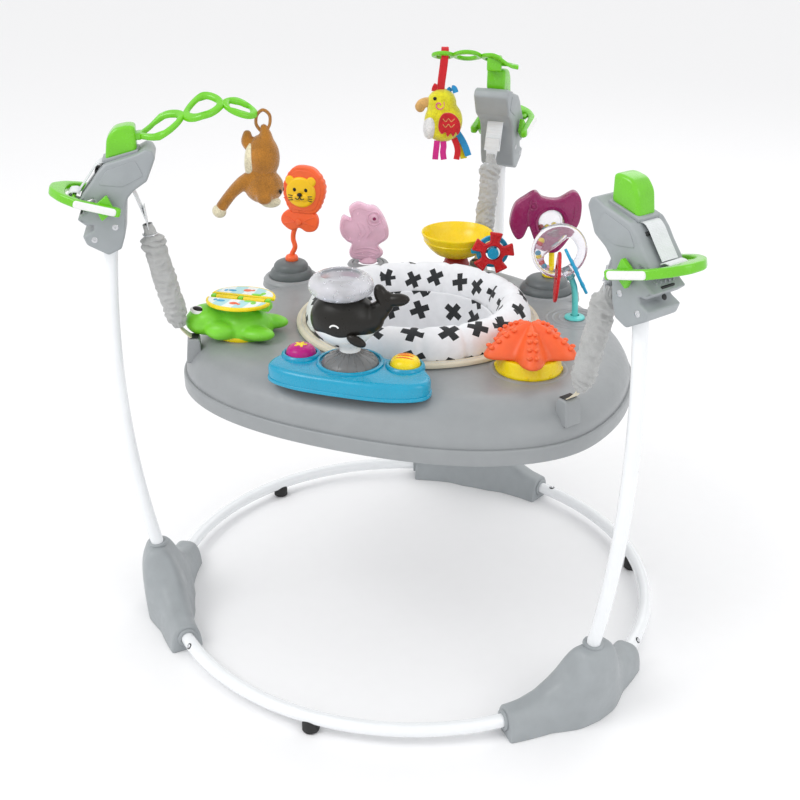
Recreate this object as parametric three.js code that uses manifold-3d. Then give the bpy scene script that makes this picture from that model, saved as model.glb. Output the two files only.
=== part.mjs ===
// Activity jumper: a three-post floor frame, a tray hung on three springs, a rotating seat and its toys.
// Millimetres, +Z up. The origin is on the floor, under the middle of the footprint.
import * as THREE from 'three';
import { mergeVertices } from 'three/addons/utils/BufferGeometryUtils.js';
import Module from 'manifold-3d';

const wasm = await Module();
wasm.setup();

// ---- Driving dimensions ----
const ringCentre = { x: 0, y: -55.9 }; // the floor ring, seen from the origin
const ring = { radius: 420, height: 25, tube: 11 };
const posts = { left: 210, right: 330, back: 90 }; // degrees round the ring
const gap = 0.35; // between pieces that touch
const tubeGap = 0.9; // round a bent tube
const post = { bow: 1680, bowX: -1205, bowZ: 470, tube: 10.8, bottom: 46, top: 702 };
const foot = { halfAngle: 19, wall: 26, tubeEnd: 8 };
const rubber = { radius: 13.5, height: 21 };
const head = { halfWidth: 32, bevel: 3 };
const strap = { halfWidth: 15, thickness: 1.4, channel: 4 };
const handle = { pivotR: 464, pivotZ: 732, armY: 48, reach: 76, tilt: 15, bar: 13 };
const sleeve = { top: [407, 694], bottom: [371, 526], radius: 19, wall: 1.6 };
const spring = { radius: 11, wire: 1.7, turns: 6 };
const tray = { top: 504, skirt: 424, wall: 4, seatY: 28, hole: 190, steps: 32 };
const seat = { ringInner: 178, ringOuter: 199, ringTop: 511, ringBottom: 478 };
const toyTilt = 22; // degrees, the way most of the flat toys face
const plushTilt = 22;

// Tray outline, right half, from the front to the back
const trayEdge = [
  [0, -303], [110, -296], [205, -272], [280, -230], [328, -175], [354, -100], [362, -15],
  [350, 80], [312, 170], [245, 255], [160, 325], [75, 368], [0, 384],
];

// ---- Materials ----
function plastic(colour, roughness = 0.45) {
  return new THREE.MeshStandardMaterial({ color: colour, roughness, metalness: 0 });
}

function seeThrough(colour, roughness, opacity) {
  return new THREE.MeshStandardMaterial({ color: colour, roughness, transparent: true, opacity });
}

const look = {
  white: plastic(0xf2f4f7, 0.3),
  grey: plastic(0x8f9598, 0.5),
  tray: plastic(0x9b9fa2, 0.5),
  darkGrey: plastic(0x5b6163, 0.55),
  green: plastic(0x6fce2a, 0.35),
  rubber: plastic(0x1d1d1e, 0.85),
  steel: new THREE.MeshStandardMaterial({ color: 0xb8bcc0, roughness: 0.3, metalness: 1 }),
  webbing: plastic(0xe8ebee, 0.9),
  sleeve: plastic(0xa7a9ac, 0.9),
  seat: plastic(0xf0f1f4, 0.9),
  cream: plastic(0xe3dccb, 0.8),
  orange: plastic(0xf26430, 0.4),
  pink: plastic(0xdcaac4, 0.35),
  yellow: plastic(0xf3cb10, 0.35),
  red: plastic(0xd51a2c, 0.4),
  blue: plastic(0x18a0cf, 0.35),
  magenta: plastic(0x9a1457, 0.35),
  clear: seeThrough(0xdfe3ee, 0.1, 0.4),
  smoke: seeThrough(0x8c8c8c, 0.15, 0.6),
  black: plastic(0x23221c, 0.4),
  brown: plastic(0xb5701c, 0.95),
  plush: plastic(0xf0dc1e, 0.95),
};

// ---- Geometry helpers ----
const rad = THREE.MathUtils.degToRad;

function vec(x, y, z = 0) {
  return new THREE.Vector3(x, y, z);
}

// Merged vertices, and faces that point outwards
function closed(source) {
  source.deleteAttribute('normal');
  source.deleteAttribute('uv');
  const geometry = mergeVertices(source, 1e-3);
  const place = geometry.getAttribute('position');
  const index = geometry.getIndex().array;
  const [a, b, c] = [vec(), vec(), vec()];
  const kept = [];
  let volume = 0;
  for (let i = 0; i < index.length; i += 3) {
    const corners = [index[i], index[i + 1], index[i + 2]];
    if (new Set(corners).size < 3) continue;
    a.fromBufferAttribute(place, corners[0]);
    b.fromBufferAttribute(place, corners[1]);
    c.fromBufferAttribute(place, corners[2]);
    volume += a.dot(b.clone().cross(c));
    kept.push(corners);
  }
  geometry.setIndex(kept.flatMap((t) => (volume < 0 ? [t[0], t[2], t[1]] : t)));
  return geometry;
}

function solid(geometry) {
  const g = closed(geometry);
  const vertProperties = new Float32Array(g.getAttribute('position').array);
  const triVerts = new Uint32Array(g.getIndex().array);
  return new wasm.Manifold(new wasm.Mesh({ numProp: 3, vertProperties, triVerts }));
}

function geometryOf(body) {
  const mesh = body.getMesh();
  const geometry = new THREE.BufferGeometry();
  geometry.setAttribute('position', new THREE.BufferAttribute(new Float32Array(mesh.vertProperties), 3));
  geometry.setIndex([...mesh.triVerts]);
  return geometry;
}

function join(...pieces) {
  return geometryOf(pieces.map(solid).reduce((sum, piece) => sum.add(piece)));
}

function cut(piece, ...tools) {
  return geometryOf(tools.map(solid).reduce((rest, tool) => rest.subtract(tool), solid(piece)));
}

function smooth(points, count, isClosed = false) {
  const curve = new THREE.CatmullRomCurve3(points.map(([x, y]) => vec(x, y)), isClosed, 'centripetal');
  const list = curve.getPoints(count).map((p) => [p.x, p.y]);
  if (isClosed) list.pop();
  return list;
}

function outline(points) {
  return new THREE.Shape(points.map(([x, y]) => new THREE.Vector2(x, y)));
}

// A tube along a curve, or a pipe when it has a bore
function tube(curve, radius, steps, sides = 12, bore = 0) {
  const section = new THREE.Shape().absarc(0, 0, radius, 0, 2 * Math.PI);
  if (bore) section.holes.push(new THREE.Path().absarc(0, 0, bore, 0, 2 * Math.PI, true));
  return new THREE.ExtrudeGeometry(section, { extrudePath: curve, steps, curveSegments: sides / 2 });
}

function turned(profile, segments = 24) {
  const points = profile.map(([r, z]) => new THREE.Vector2(r, z));
  return new THREE.LatheGeometry(points, segments).rotateX(Math.PI / 2);
}

// Settings that extrude a shape to a thickness, with its edges bevelled inside the outline
function bevelled(thickness, bevel) {
  return {
    depth: thickness - 2 * bevel,
    bevelEnabled: bevel > 0,
    bevelThickness: bevel,
    bevelSize: bevel,
    bevelOffset: -bevel,
    bevelSegments: 1,
  };
}

// An upright slab: the outline is drawn in X and Z, and its thickness is along Y
function slab(points, thickness, bevel = 1.5, holes = []) {
  const shape = outline(points);
  holes.forEach((hole) => shape.holes.push(new THREE.Path(outline(hole).getPoints())));
  const geometry = new THREE.ExtrudeGeometry(shape, bevelled(thickness, bevel));
  return geometry.translate(0, 0, bevel - thickness / 2).rotateX(Math.PI / 2);
}

function circle(radius, count = 16, x = 0, z = 0) {
  const points = [];
  for (let i = 0; i < count; i += 1) {
    const turn = (2 * Math.PI * i) / count;
    points.push([x + radius * Math.cos(turn), z + radius * Math.sin(turn)]);
  }
  return points;
}

function box(x0, x1, y0, y1, z0, z1) {
  const geometry = new THREE.BoxGeometry(x1 - x0, y1 - y0, z1 - z0);
  return geometry.translate((x0 + x1) / 2, (y0 + y1) / 2, (z0 + z1) / 2);
}

function ball(rx, ry, rz, x, y, z, around = 10) {
  const geometry = new THREE.SphereGeometry(1, around, Math.round(around * 0.6));
  return geometry.rotateX(Math.PI / 2).scale(rx, ry, rz).translate(x, y, z);
}

// A skin over rings of points, closed round a loop of rings, or capped at both ends
function skin(rings, looped = false) {
  const count = rings[0].length;
  const place = rings.flat(2);
  const index = [];
  const spans = looped ? rings.length : rings.length - 1;
  for (let i = 0; i < spans; i += 1) {
    const next = (i + 1) % rings.length;
    for (let j = 0; j < count; j += 1) {
      const k = (j + 1) % count;
      index.push(i * count + j, i * count + k, next * count + k);
      index.push(i * count + j, next * count + k, next * count + j);
    }
  }
  if (!looped) {
    [0, rings.length - 1].forEach((end) => {
      const hub = place.length / 3;
      const middle = [0, 1, 2].map((axis) => rings[end].reduce((sum, p) => sum + p[axis], 0) / count);
      place.push(...middle);
      for (let j = 0; j < count; j += 1) {
        const pair = [end * count + j, end * count + ((j + 1) % count)];
        index.push(hub, ...(end === 0 ? pair.reverse() : pair));
      }
    });
  }
  const geometry = new THREE.BufferGeometry();
  geometry.setAttribute('position', new THREE.Float32BufferAttribute(place, 3));
  geometry.setIndex(index);
  return geometry;
}

function between(table, at) {
  const last = table[table.length - 1];
  if (at >= last[0]) return last[1];
  const i = Math.max(1, table.findIndex((row) => row[0] > at));
  const [[a, from], [b, to]] = [table[i - 1], table[i]];
  return from + ((to - from) * Math.max(0, at - a)) / (b - a);
}

// ---- Scene graph ----
const jumper = new THREE.Group();
jumper.position.set(ringCentre.x, ringCentre.y, 0);

function place(name, geometry, material, parent = jumper) {
  const mesh = new THREE.Mesh(closed(geometry), material);
  mesh.name = name;
  parent.add(mesh);
  return mesh;
}

function group(x, y, z, turn) {
  const holder = new THREE.Group();
  holder.position.set(x, y, z);
  holder.rotation.z = rad(turn);
  jumper.add(holder);
  return holder;
}

// ---- Floor ring ----
class RingArc extends THREE.Curve {
  constructor(from, to) {
    super();
    this.from = rad(from);
    this.to = rad(to);
  }

  getPoint(t) {
    const turn = this.from + (this.to - this.from) * t;
    return vec(ring.radius * Math.cos(turn), ring.radius * Math.sin(turn), ring.height);
  }
}

const arcs = { front: [210, 330], right: [-30, 90], left: [90, 210] };
Object.entries(arcs).forEach(([side, [from, to]]) => {
  const arc = new RingArc(from + foot.tubeEnd, to - foot.tubeEnd);
  place(`base_tube_${side}`, tube(arc, ring.tube, 16, 10), look.white);
  const middle = (from + to) / 2;
  const padSide = [[0, 0], [rubber.radius - 1, 0], [rubber.radius, 1.5], [rubber.radius, rubber.height],
    [0, rubber.height]];
  const pad = turned(padSide, 20).translate(ring.radius, 0, 0).rotateZ(rad(middle));
  const groove = tube(new RingArc(middle - 4, middle + 4), ring.tube + tubeGap, 3);
  place(`rubber_foot_${side}`, cut(pad, groove), look.rubber);
});

// ---- Foot housings and posts ----
const footHeight = [[0, 130], [25, 129], [33, 118], [42, 97], [56, 78], [80, 60], [110, 49], [150, 44]];
const footInner = [[0, 34], [30, 34], [60, 28], [150, foot.wall]];
const footOuter = [[0, 49], [35, 46], [75, 31], [150, foot.wall]];
const footSections = [-19, -14, -9.5, -6.2, -4.4, -3.2, 0, 3.2, 4.4, 6.2, 9.5, 14, 19];

function postR(z) {
  return post.bowX + Math.sqrt(post.bow ** 2 - (z - post.bowZ) ** 2);
}

class PostBow extends THREE.Curve {
  getPoint(t) {
    const z = post.bottom + (post.top - post.bottom) * t;
    return vec(postR(z), 0, z);
  }
}

function footSection(angle) {
  const along = Math.abs(ring.radius * rad(angle));
  const height = between(footHeight, along);
  const lean = between([[0, 21], [30, 19], [60, 5], [150, 0]], along);
  const points = [];
  for (let i = 0; i <= 8; i += 1) {
    const turn = (Math.PI * i) / 8;
    const side = Math.cos(turn) > 0 ? between(footOuter, along) : between(footInner, along);
    const z = height * Math.sin(turn) ** 0.75;
    const narrow = 1 - 0.22 * (z / 130);
    const across = Math.sign(Math.cos(turn)) * Math.abs(Math.cos(turn)) ** 0.6;
    const r = ring.radius + lean * (z / 130) + side * narrow * across;
    points.push([r * Math.cos(rad(angle)), r * Math.sin(rad(angle)), z]);
  }
  return points;
}

function footHousing() {
  const shell = skin(footSections.map(footSection));
  const channels = [-1, 1].map((way) => {
    const arc = new RingArc(way * (foot.tubeEnd - 0.3), way * (foot.halfAngle + 2));
    return tube(arc, ring.tube + tubeGap, 4, 10);
  });
  const socket = tube(new PostBow(), post.tube + tubeGap, 10, 10).translate(0, 0, -tubeGap);
  return cut(shell, ...channels, socket);
}

// ---- Heads, plugs, straps, handles ----
const headSide = [
  [391, 786], [385, 800], [389, 810], [398, 813], [412, 806], [458, 793], [470, 781],
    [479, 768], [493, 751],
  [503, 736], [478, 744], [476, 735], [506, 713], [494, 703], [482, 704], [484, 696],
    [501, 688], [496, 674],
  [466, 657], [446, 666], [439, 686], [434, 730], [430, 742], [420, 753], [400, 766],
];
const plugSide = [[411, 807], [458, 793.8], [453, 827], [441, 841], [422, 844.5], [411, 843]];
const strapRoute = [[407, 700], [414, 722], [423, 748], [434, 770], [449, 786], [463, 792],
  [473, 786.5], [484, 772], [494, 759], [500, 751]];
const channelRoute = strapRoute.slice(1, 8);

// A ribbon of a given thickness along a route in the post's plane
function ribbon(route, thickness, halfWidth) {
  const curve = new THREE.CatmullRomCurve3(route.map(([r, z]) => vec(r, z)), false, 'centripetal');
  const steps = 2 * (route.length - 1);
  const sides = [[], []];
  for (let i = 0; i <= steps; i += 1) {
    const at = curve.getPoint(i / steps);
    const way = curve.getTangent(i / steps);
    sides[0].push([at.x - (way.y * thickness) / 2, at.y + (way.x * thickness) / 2]);
    sides[1].unshift([at.x + (way.y * thickness) / 2, at.y - (way.x * thickness) / 2]);
  }
  return slab([...sides[0], ...sides[1]], 2 * halfWidth, 0);
}

function headHousing() {
  const shell = slab(headSide, 2 * head.halfWidth, head.bevel);
  const socket = tube(new PostBow(), post.tube + tubeGap, 10, 10).translate(0, 0, tubeGap);
  return cut(shell, socket, ribbon(channelRoute, strap.channel, strap.halfWidth + 1.5));
}

// The U-shaped handle, drawn flat round its pivot and then tilted
function heightHandle() {
  const outer = [[-24, -handle.armY - 6], [40, -handle.armY - 6], [66, -38], [handle.reach + 7, -14],
    [handle.reach + 7, 14], [66, 38], [40, handle.armY + 6], [-24, handle.armY + 6]];
  const inner = [[-24, handle.armY - 6], [36, handle.armY - 6], [56, 32], [60, 12], [60, -12],
    [56, -32], [36, -handle.armY + 6], [-24, -handle.armY + 6]];
  const shape = outline([...outer, ...inner]);
  const loop = new THREE.ExtrudeGeometry(shape, bevelled(handle.bar, 2)).translate(0, 0,
    2 - handle.bar / 2);
  const crossBar = box(43, 49, -34, 34, -3, 3);
  const bridges = [-1, 1].map((side) => box(40, 52, side * 31 - 4, side * 31 + 4, -3, 3));
  const plates = [-1, 1].map((side) => {
    const diamond = slab([[-15, 0], [0, 20], [15, 0], [0, -20]], 8, 0);
    return diamond.translate(0, side * (handle.armY - 8.5), 0);
  });
  return join(loop, crossBar, ...bridges, ...plates);
}

// ---- Toy arm: a chain of three leaf-shaped loops ----
const leaves = [[0, 70, 24], [70, 128, 25], [128, 176, 17]]; // from, to, half width
const leafNeck = 8;

function leafSide(from, to, half, count) {
  const points = [];
  for (let i = 0; i < count; i += 1) {
    const u = i / count;
    points.push([from + (to - from) * u, leafNeck + (half - leafNeck) * Math.sin(Math.PI * u) ** 0.8]);
  }
  return points;
}

function toyArm(scale, rise) {
  const side = leaves.flatMap(([from, to, half]) => leafSide(from, to, half, 6));
  side.push([176, 5]);
  const rim = [...side, ...side.map(([s, w]) => [s, -w]).reverse()];
  const shape = outline(rim);
  leaves.forEach(([from, to, half]) => {
    const middle = (from + to) / 2;
    const hole = circle(1, 12).map(([x, y]) => [middle + x * ((to - from) / 2 - 9), y * (half - 8)]);
    shape.holes.push(new THREE.Path(outline(hole).getPoints()));
  });
  const geometry = new THREE.ExtrudeGeometry(shape, { depth: 10, bevelEnabled: false });
  const points = geometry.getAttribute('position');
  for (let i = 0; i < points.count; i += 1) {
    const s = points.getX(i) * scale;
    points.setXYZ(i, s, points.getY(i), points.getZ(i) - 5 + between(rise, s));
  }
  return geometry;
}

// ---- Sleeve and spring on the line from the head to the tray ----
function sleevePoint(share, turn = 0, radius = 0) {
  const [[topR, topZ], [lowR, lowZ]] = [sleeve.top, sleeve.bottom];
  const slope = Math.atan2(topR - lowR, topZ - lowZ);
  const r = topR + (lowR - topR) * share + radius * Math.cos(turn) * Math.cos(slope);
  const z = topZ + (lowZ - topZ) * share - radius * Math.cos(turn) * Math.sin(slope);
  return vec(r, radius * Math.sin(turn), z);
}

class SpringCoil extends THREE.Curve {
  getPoint(t) {
    return sleevePoint(0.08 + 0.84 * t, 2 * Math.PI * spring.turns * t, spring.radius);
  }
}

const armRise = [[0, 0], [20, 5], [45, 17], [70, 27], [98, 41], [125, 43], [150, 37], [176, 27]];
const backRise = [[0, 0], [20, 6], [45, 16], [80, 21], [155, 20]];

Object.entries(posts).forEach(([side, turn]) => {
  const stand = group(0, 0, 0, turn);
  place(`foot_housing_${side}`, footHousing(), look.grey, stand);
  place(`post_tube_${side}`, tube(new PostBow(), post.tube, 10, 10), look.white, stand);
  place(`head_housing_${side}`, headHousing(), look.grey, stand);
  place(`toy_plug_${side}`, slab(plugSide, 34, 3), look.green, stand);
  place(`adjuster_strap_${side}`, ribbon(strapRoute, strap.thickness, strap.halfWidth), look.webbing,
    stand);
  const handleMesh = place(`height_handle_${side}`, heightHandle(), look.green, stand);
  handleMesh.position.set(handle.pivotR, 0, handle.pivotZ);
  handleMesh.rotation.y = rad(-handle.tilt);
  const line = new THREE.LineCurve3(sleevePoint(0), sleevePoint(1));
  const fabric = tube(line, sleeve.radius, 1, 8, sleeve.radius - sleeve.wall);
  place(`spring_sleeve_${side}`, fabric, look.sleeve, stand);
  const coil = tube(new SpringCoil(), spring.wire, spring.turns * 6, 4);
  place(`suspension_spring_${side}`, coil, look.steel, stand);
});

const armStart = { left: { r: 410.6, z: 826 }, back: { x: 36, y: 412, z: 850, turn: 195, scale: 0.87 } };
const leftStand = group(0, 0, 0, posts.left);
const leftArm = toyArm(1, armRise).rotateZ(Math.PI).translate(armStart.left.r, 0, armStart.left.z);
place('toy_arm_left', leftArm, look.green, leftStand);
const backArm = toyArm(armStart.back.scale, backRise).rotateZ(rad(armStart.back.turn))
  .translate(armStart.back.x, armStart.back.y, armStart.back.z);
place('toy_arm_back', backArm, look.green);

// ---- Tray ----
const trayLoop = (() => {
  const mirrored = trayEdge.slice(1, -1).map(([x, y]) => [-x, y]).reverse();
  const corners = [...trayEdge, ...mirrored].map(([x, y]) => vec(x, y));
  const curve = new THREE.CatmullRomCurve3(corners, true, 'centripetal');
  return curve.getSpacedPoints(tray.steps).slice(0, tray.steps);
})();

function trayRing(inset, z) {
  return trayLoop.map((p) => {
    const out = vec(p.x, p.y - tray.seatY);
    const length = out.length() - inset;
    out.setLength(length);
    return [out.x, out.y + tray.seatY, z];
  });
}

function wellRing(radius, z) {
  return trayLoop.map((p) => {
    const out = vec(p.x, p.y - tray.seatY).setLength(radius);
    return [out.x, out.y + tray.seatY, z];
  });
}

const shoulder = [[0, 0], [0, 20], [7, 40], [20, 60], [42, 74],
  [70, 80]]; // inset, height over the skirt

function trayTop() {
  const outside = shoulder.map(([inset, h]) => trayRing(inset, tray.skirt + h));
  const inside = shoulder.map(([inset, h]) => {
    const under = Math.max(0, h - tray.wall * 0.9);
    return trayRing(inset + tray.wall, tray.skirt + under);
  });
  const rim = [wellRing(tray.hole, tray.top), wellRing(tray.hole, tray.top - 22)];
  const wider = tray.hole + tray.wall;
  const rimInside = [wellRing(wider, tray.top - 22), wellRing(wider, tray.top - tray.wall)];
  inside[0] = trayRing(tray.wall, tray.skirt);
  const shell = skin([...outside, ...rim, ...rimInside, ...inside.reverse()], true);
  const lugs = Object.values(posts).map((turn) => {
    const lug = box(341, 360, -17, 17, 470, 507);
    return lug.rotateZ(rad(turn));
  });
  return join(shell, ...lugs);
}

function trayUnderside() {
  const low = tray.skirt + 6;
  const inset = tray.wall + 3;
  return skin([trayRing(inset, low), trayRing(inset, low + 4), wellRing(tray.hole + 8, low + 4),
    wellRing(tray.hole + 8, low)], true);
}

place('tray_top', trayTop(), look.tray);
place('tray_underside', trayUnderside(), look.darkGrey);

// ---- Seat ----
const seatHolder = group(0, tray.seatY, 0, 0);
const seatRing = turned([[seat.ringInner, seat.ringBottom], [186, seat.ringBottom],
  [186, tray.top + 0.6], [seat.ringOuter, tray.top + 0.6], [seat.ringOuter, seat.ringTop - 2],
  [seat.ringOuter - 3, seat.ringTop], [seat.ringInner, seat.ringTop],
  [seat.ringInner, seat.ringBottom]], 28);
place('seat_ring', seatRing, look.cream, seatHolder);

const seatProfile = [[0, 296], [62, 300], [108, 330], [136, 390], [176.5, 500], [177, 520], [168, 540],
  [150, 548], [134, 540], [122, 508], [110, 410], [92, 350], [56, 320], [0, 316]];
const legAngle = 38;
const legHoles = [-1, 1].map((side) => {
  const hole = turned([[0, 0], [46, 0], [46, 150], [0, 150]], 16).scale(1, 1.25, 1);
  return hole.rotateY(Math.PI / 2).rotateZ(rad(270 + side * legAngle)).translate(0, 0, 372);
});
place('seat_fabric', cut(turned(seatProfile, 22), ...legHoles), look.seat, seatHolder);

// ---- Toys on the tray ----
const deck = tray.top + gap;

function dome(radius, height) {
  return turned([[0, 0], [radius, 0], [radius * 0.98, height * 0.25], [radius * 0.83, height * 0.66],
    [radius * 0.55, height * 0.93], [radius * 0.3, height], [0, height]], 20);
}

function stalk(points, radius) {
  const curve = new THREE.CatmullRomCurve3(points.map(([x, z]) => vec(x, 0, z)));
  return tube(curve, radius, 7, 8);
}

// Lion on a wavy stem
const lionSpot = group(-291, 151, deck, 5);
place('lion_dome', dome(39, 30), look.darkGrey, lionSpot);
const mane = smooth([[2, 182], [-6, 198], [26, 202], [60, 196], [68, 168], [64, 140], [44, 119],
  [6, 122], [-8, 144], [-10, 168]], 20, true);
const bow = smooth([[-13, 97], [-14, 112], [-2, 123], [22, 118], [46, 120], [57, 106], [50, 88],
  [34, 84], [20, 92], [2, 86]], 20, true);
const lionStem = stalk([[2, 32.4], [3, 42], [9, 55], [6, 70], [8, 84], [15, 100]], 4.6);
const lionFoot = turned([[0, 31.6], [7, 33], [7, 36], [5, 39], [0, 39]], 12).translate(2, 0, 0);
const lionFace = slab(circle(29, 14, 27, 158), 26, 0);
place('lion_toy', join(slab(mane, 16, 2), slab(bow, 12, 0), lionStem, lionFoot, lionFace), look.orange,
  lionSpot);

// Fish
const fishSpot = group(-192, 275, deck, toyTilt);
const fishSide = smooth([[-52, 70], [-46, 89], [-31, 84], [-34, 104], [-18, 114], [0, 108], [14, 106],
  [28, 90], [38, 64], [36, 47], [19, 33], [28, 18], [12, 7], [-26, 8], [-35, 20], [-30, 36], [-39, 42],
  [-49, 54]], 32, true);
const fishStem = turned([[0, 0], [13, 0], [11, 4], [7, 6], [7, 14], [0, 14]], 16);
place('fish_toy', join(slab(fishSide, 22, 3), fishStem), look.pink, fishSpot);

// Bowl with a star spinner on its rim
const bowlSpot = group(-27, 300, deck, toyTilt);
place('bowl_base', turned([[0, 0], [24, 0], [22, 18], [17, 24], [0, 24]], 16), look.red, bowlSpot);
const bowlSide = [[0, 24.4], [18, 24.4], [40, 32], [56, 48], [62, 64], [64, 70], [61, 70], [53, 51],
  [38, 36], [17, 28], [0, 28]];
place('bowl', turned(bowlSide, 22), look.yellow, bowlSpot);
const spinner = { x: 60, y: -72, z: 54, radius: 38 };
const starShape = [];
for (let i = 0; i < 25; i += 1) {
  const turn = (2 * Math.PI * i) / 25;
  const wave = 0.5 + 0.5 * Math.cos(5 * (turn - rad(82)));
  const reach = 22 + (spinner.radius - 22) * wave;
  starShape.push([reach * Math.cos(turn), reach * Math.sin(turn)]);
}
const spinnerSpot = new THREE.Group();
spinnerSpot.position.set(spinner.x, spinner.y, spinner.z);
bowlSpot.add(spinnerSpot);
place('spinner_star', slab(starShape, 7, 0, [circle(11, 12)]), look.red, spinnerSpot);
const hubPin = slab(circle(10.2, 12), 12, 0).translate(0, 1, 0);
const backRing = slab(circle(29, 16), 5, 0, [circle(21, 16)]).translate(0, 8, 0);
const spokes = slab([[-22, 3], [22, 3], [22, -3], [-22, -3]], 4, 0).translate(0, 8, 0);
const bowlArm = box(-38, -25, 6, 14, -4, 4);
place('spinner_ring', join(hubPin, backRing, spokes, bowlArm), look.blue, spinnerSpot);

// Toucan rattle on a yellow stem
const toucanSpot = group(157, 251, deck, toyTilt);
place('toucan_dome', dome(46, 26), look.darkGrey, toucanSpot);
const toucanSide = smooth([[-70, 128], [-63, 154], [-46, 168], [-29, 177], [-16, 167], [10, 164],
  [36, 177], [49, 161], [49, 128], [38, 105], [16, 74], [-5, 72], [-24, 88], [-34, 110], [-38, 118],
  [-46, 99], [-57, 95], [-68, 112]], 34, true);
const toucanStem = stalk([[5, 28.2], [6, 50], [5, 80]], 5);
const toucanFoot = turned([[0, 27.4], [8, 29], [8, 32], [6, 35], [0, 35]], 12).translate(5, 0, 0);
const bubble = ball(23.5, 17, 23.5, 0, 0, 124, 12);
place('toucan_toy', join(slab(toucanSide, 22, 3), toucanStem, toucanFoot, bubble), look.magenta,
  toucanSpot);

// Clear ring rattle with two threaded paddles
const rattleSpot = group(236, 137, deck, toyTilt);
const rattle = { x: -33, z: 116, radius: 45 };
const rattleHole = smooth([[14, 22], [29, 3], [24, -17], [8, -29], [-12, -30], [-24, -14],
  [-18, -2], [-4, 8]], 16, true)
  .map(([x, z]) => [x + rattle.x, z + rattle.z]);
const rattleRing = slab(circle(rattle.radius, 22, rattle.x, rattle.z), 16, 3, [rattleHole]);
const rattleStem = stalk([[0, 4], [-1, 25], [-4, 52], [-9, 66], [-15, 78]], 5.5);
const rattleFoot = turned([[0, 0.3], [15, 4], [16, 6], [14, 9], [7, 12], [0, 12]], 16);
place('ring_rattle', join(rattleRing, rattleStem, rattleFoot), look.clear, rattleSpot);
const paddleHole = { radius: 12.5, height: 86 };
const paddles = {
  red: { x: -33, z: 79, lean: 2, colour: look.red },
  blue: { x: -7, z: 88, lean: -28, colour: look.blue },
};
Object.entries(paddles).forEach(([name, spot]) => {
  const oval = circle(1, 20).map(([x, z]) => [x * 18, z * (paddleHole.height / 2) - 8]);
  const plate = slab(oval, 5, 0, [circle(paddleHole.radius, 12)]).rotateZ(Math.PI / 2);
  const mesh = place(`paddle_${name}`, plate, spot.colour, rattleSpot);
  mesh.position.set(spot.x, 0, spot.z);
  mesh.rotation.y = rad(spot.lean);
});

// Starfish spinner
const starSpot = group(221, -89, deck, 0);
place('starfish_disc', turned([[0, 0], [50, 0], [48, 24], [12, 24], [12, 30], [0, 30]], 28),
  look.yellow, starSpot);
const starLayers = [[24.4, 1], [29, 1.02], [36, 0.94], [48, 0.74], [60, 0.5], [68, 0.3], [72, 0.12]];
const starRings = starLayers.map(([z, scale]) => {
  const points = [];
  for (let i = 0; i < 25; i += 1) {
    const turn = (2 * Math.PI * i) / 25;
    const wave = (0.5 + 0.5 * Math.cos(5 * (turn - rad(-70)))) ** 1.2;
    const reach = (42 + 28 * wave) * scale;
    points.push([reach * Math.cos(turn), reach * Math.sin(turn), z]);
  }
  return points;
});
const starSocket = turned([[0, 20], [12.4, 20], [12.4, 30.5], [0, 30.5]], 28);
place('starfish', cut(skin(starRings), starSocket), look.orange, starSpot);

// Turtle with two flip pages
const turtle = { turn: 6, spineZ: 58 };
const turtleSpot = group(-247, -126, deck, turtle.turn);
const turtleBody = join(
  turned([[0, 0], [38, 0], [38, 8], [0, 8]], 24),
  ball(50, 42, 40, 4, 0, 8, 12),
  ball(23, 20, 24, -50, -14, 22, 8),
  ball(30, 20, 15, -20, -38, 16, 8),
  ball(30, 18, 10, 42, -28, 14, 8),
  ball(30, 18, 10, 42, 28, 14, 8),
  ball(28, 16, 10, -18, 38, 14, 8),
  box(-44, 52, -3, 3, 40, 54),
);
const turtleFloor = box(-120, 120, -120, 120, -60, 0);
place('turtle_body', cut(turtleBody, turtleFloor), look.green, turtleSpot);
const page = { length: 106, depth: 47, thickness: 6 };
function pagePlate(side) {
  const points = [];
  for (let i = 0; i <= 14; i += 1) {
    const turn = (Math.PI * i) / 14;
    points.push([4 + (page.length / 2) * Math.cos(turn), side * (5 + page.depth * Math.sin(turn))]);
  }
  const shape = outline(side > 0 ? points : points.reverse());
  const plate = new THREE.ExtrudeGeometry(shape, bevelled(page.thickness, 1));
  return plate.translate(0, 0, turtle.spineZ - 2);
}
place('turtle_page_front', pagePlate(-1), look.yellow, turtleSpot);
place('turtle_page_back', pagePlate(1), look.yellow, turtleSpot);

// Console with two buttons, a clear cone and a whale
const consoleSpot = group(-11, -226, deck, 7);
const consolePlan = smooth([[-116, -8], [-112, -38], [-70, -58], [0, -66], [70, -66], [118, -50],
  [126, -20], [104, 14], [70, 26], [44, 34], [26, 50], [-26, 50], [-48, 30], [-96, 24]], 30, true);
const consoleSettings = { depth: 15, bevelThickness: 6, bevelSize: 8, bevelOffset: -8,
  bevelSegments: 1 };
const consoleBody = new THREE.ExtrudeGeometry(outline(consolePlan), consoleSettings).translate(0, 0, 6);
const buttons = { magenta: [-79, 10], yellow: [81, 8] };
const buttonSize = { radius: 22, seat: 25, travel: 4, well: 16 };
const consoleCollars = Object.values(buttons).map(([x, y]) => (
  turned([[0, 5], [28, 5], [28, 27], [26, 30], [0, 30]], 20).translate(x, y, 0)));
const wells = Object.values(buttons).map(([x, y]) => (
  turned([[0, buttonSize.well], [23, buttonSize.well], [23, 40], [0, 40]], 20).translate(x, y, 0)));
const coneWell = turned([[0, 14], [45, 14], [45, 40], [0, 40]], 22);
place('console', cut(join(consoleBody, ...consoleCollars), ...wells, coneWell), look.blue, consoleSpot);
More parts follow.
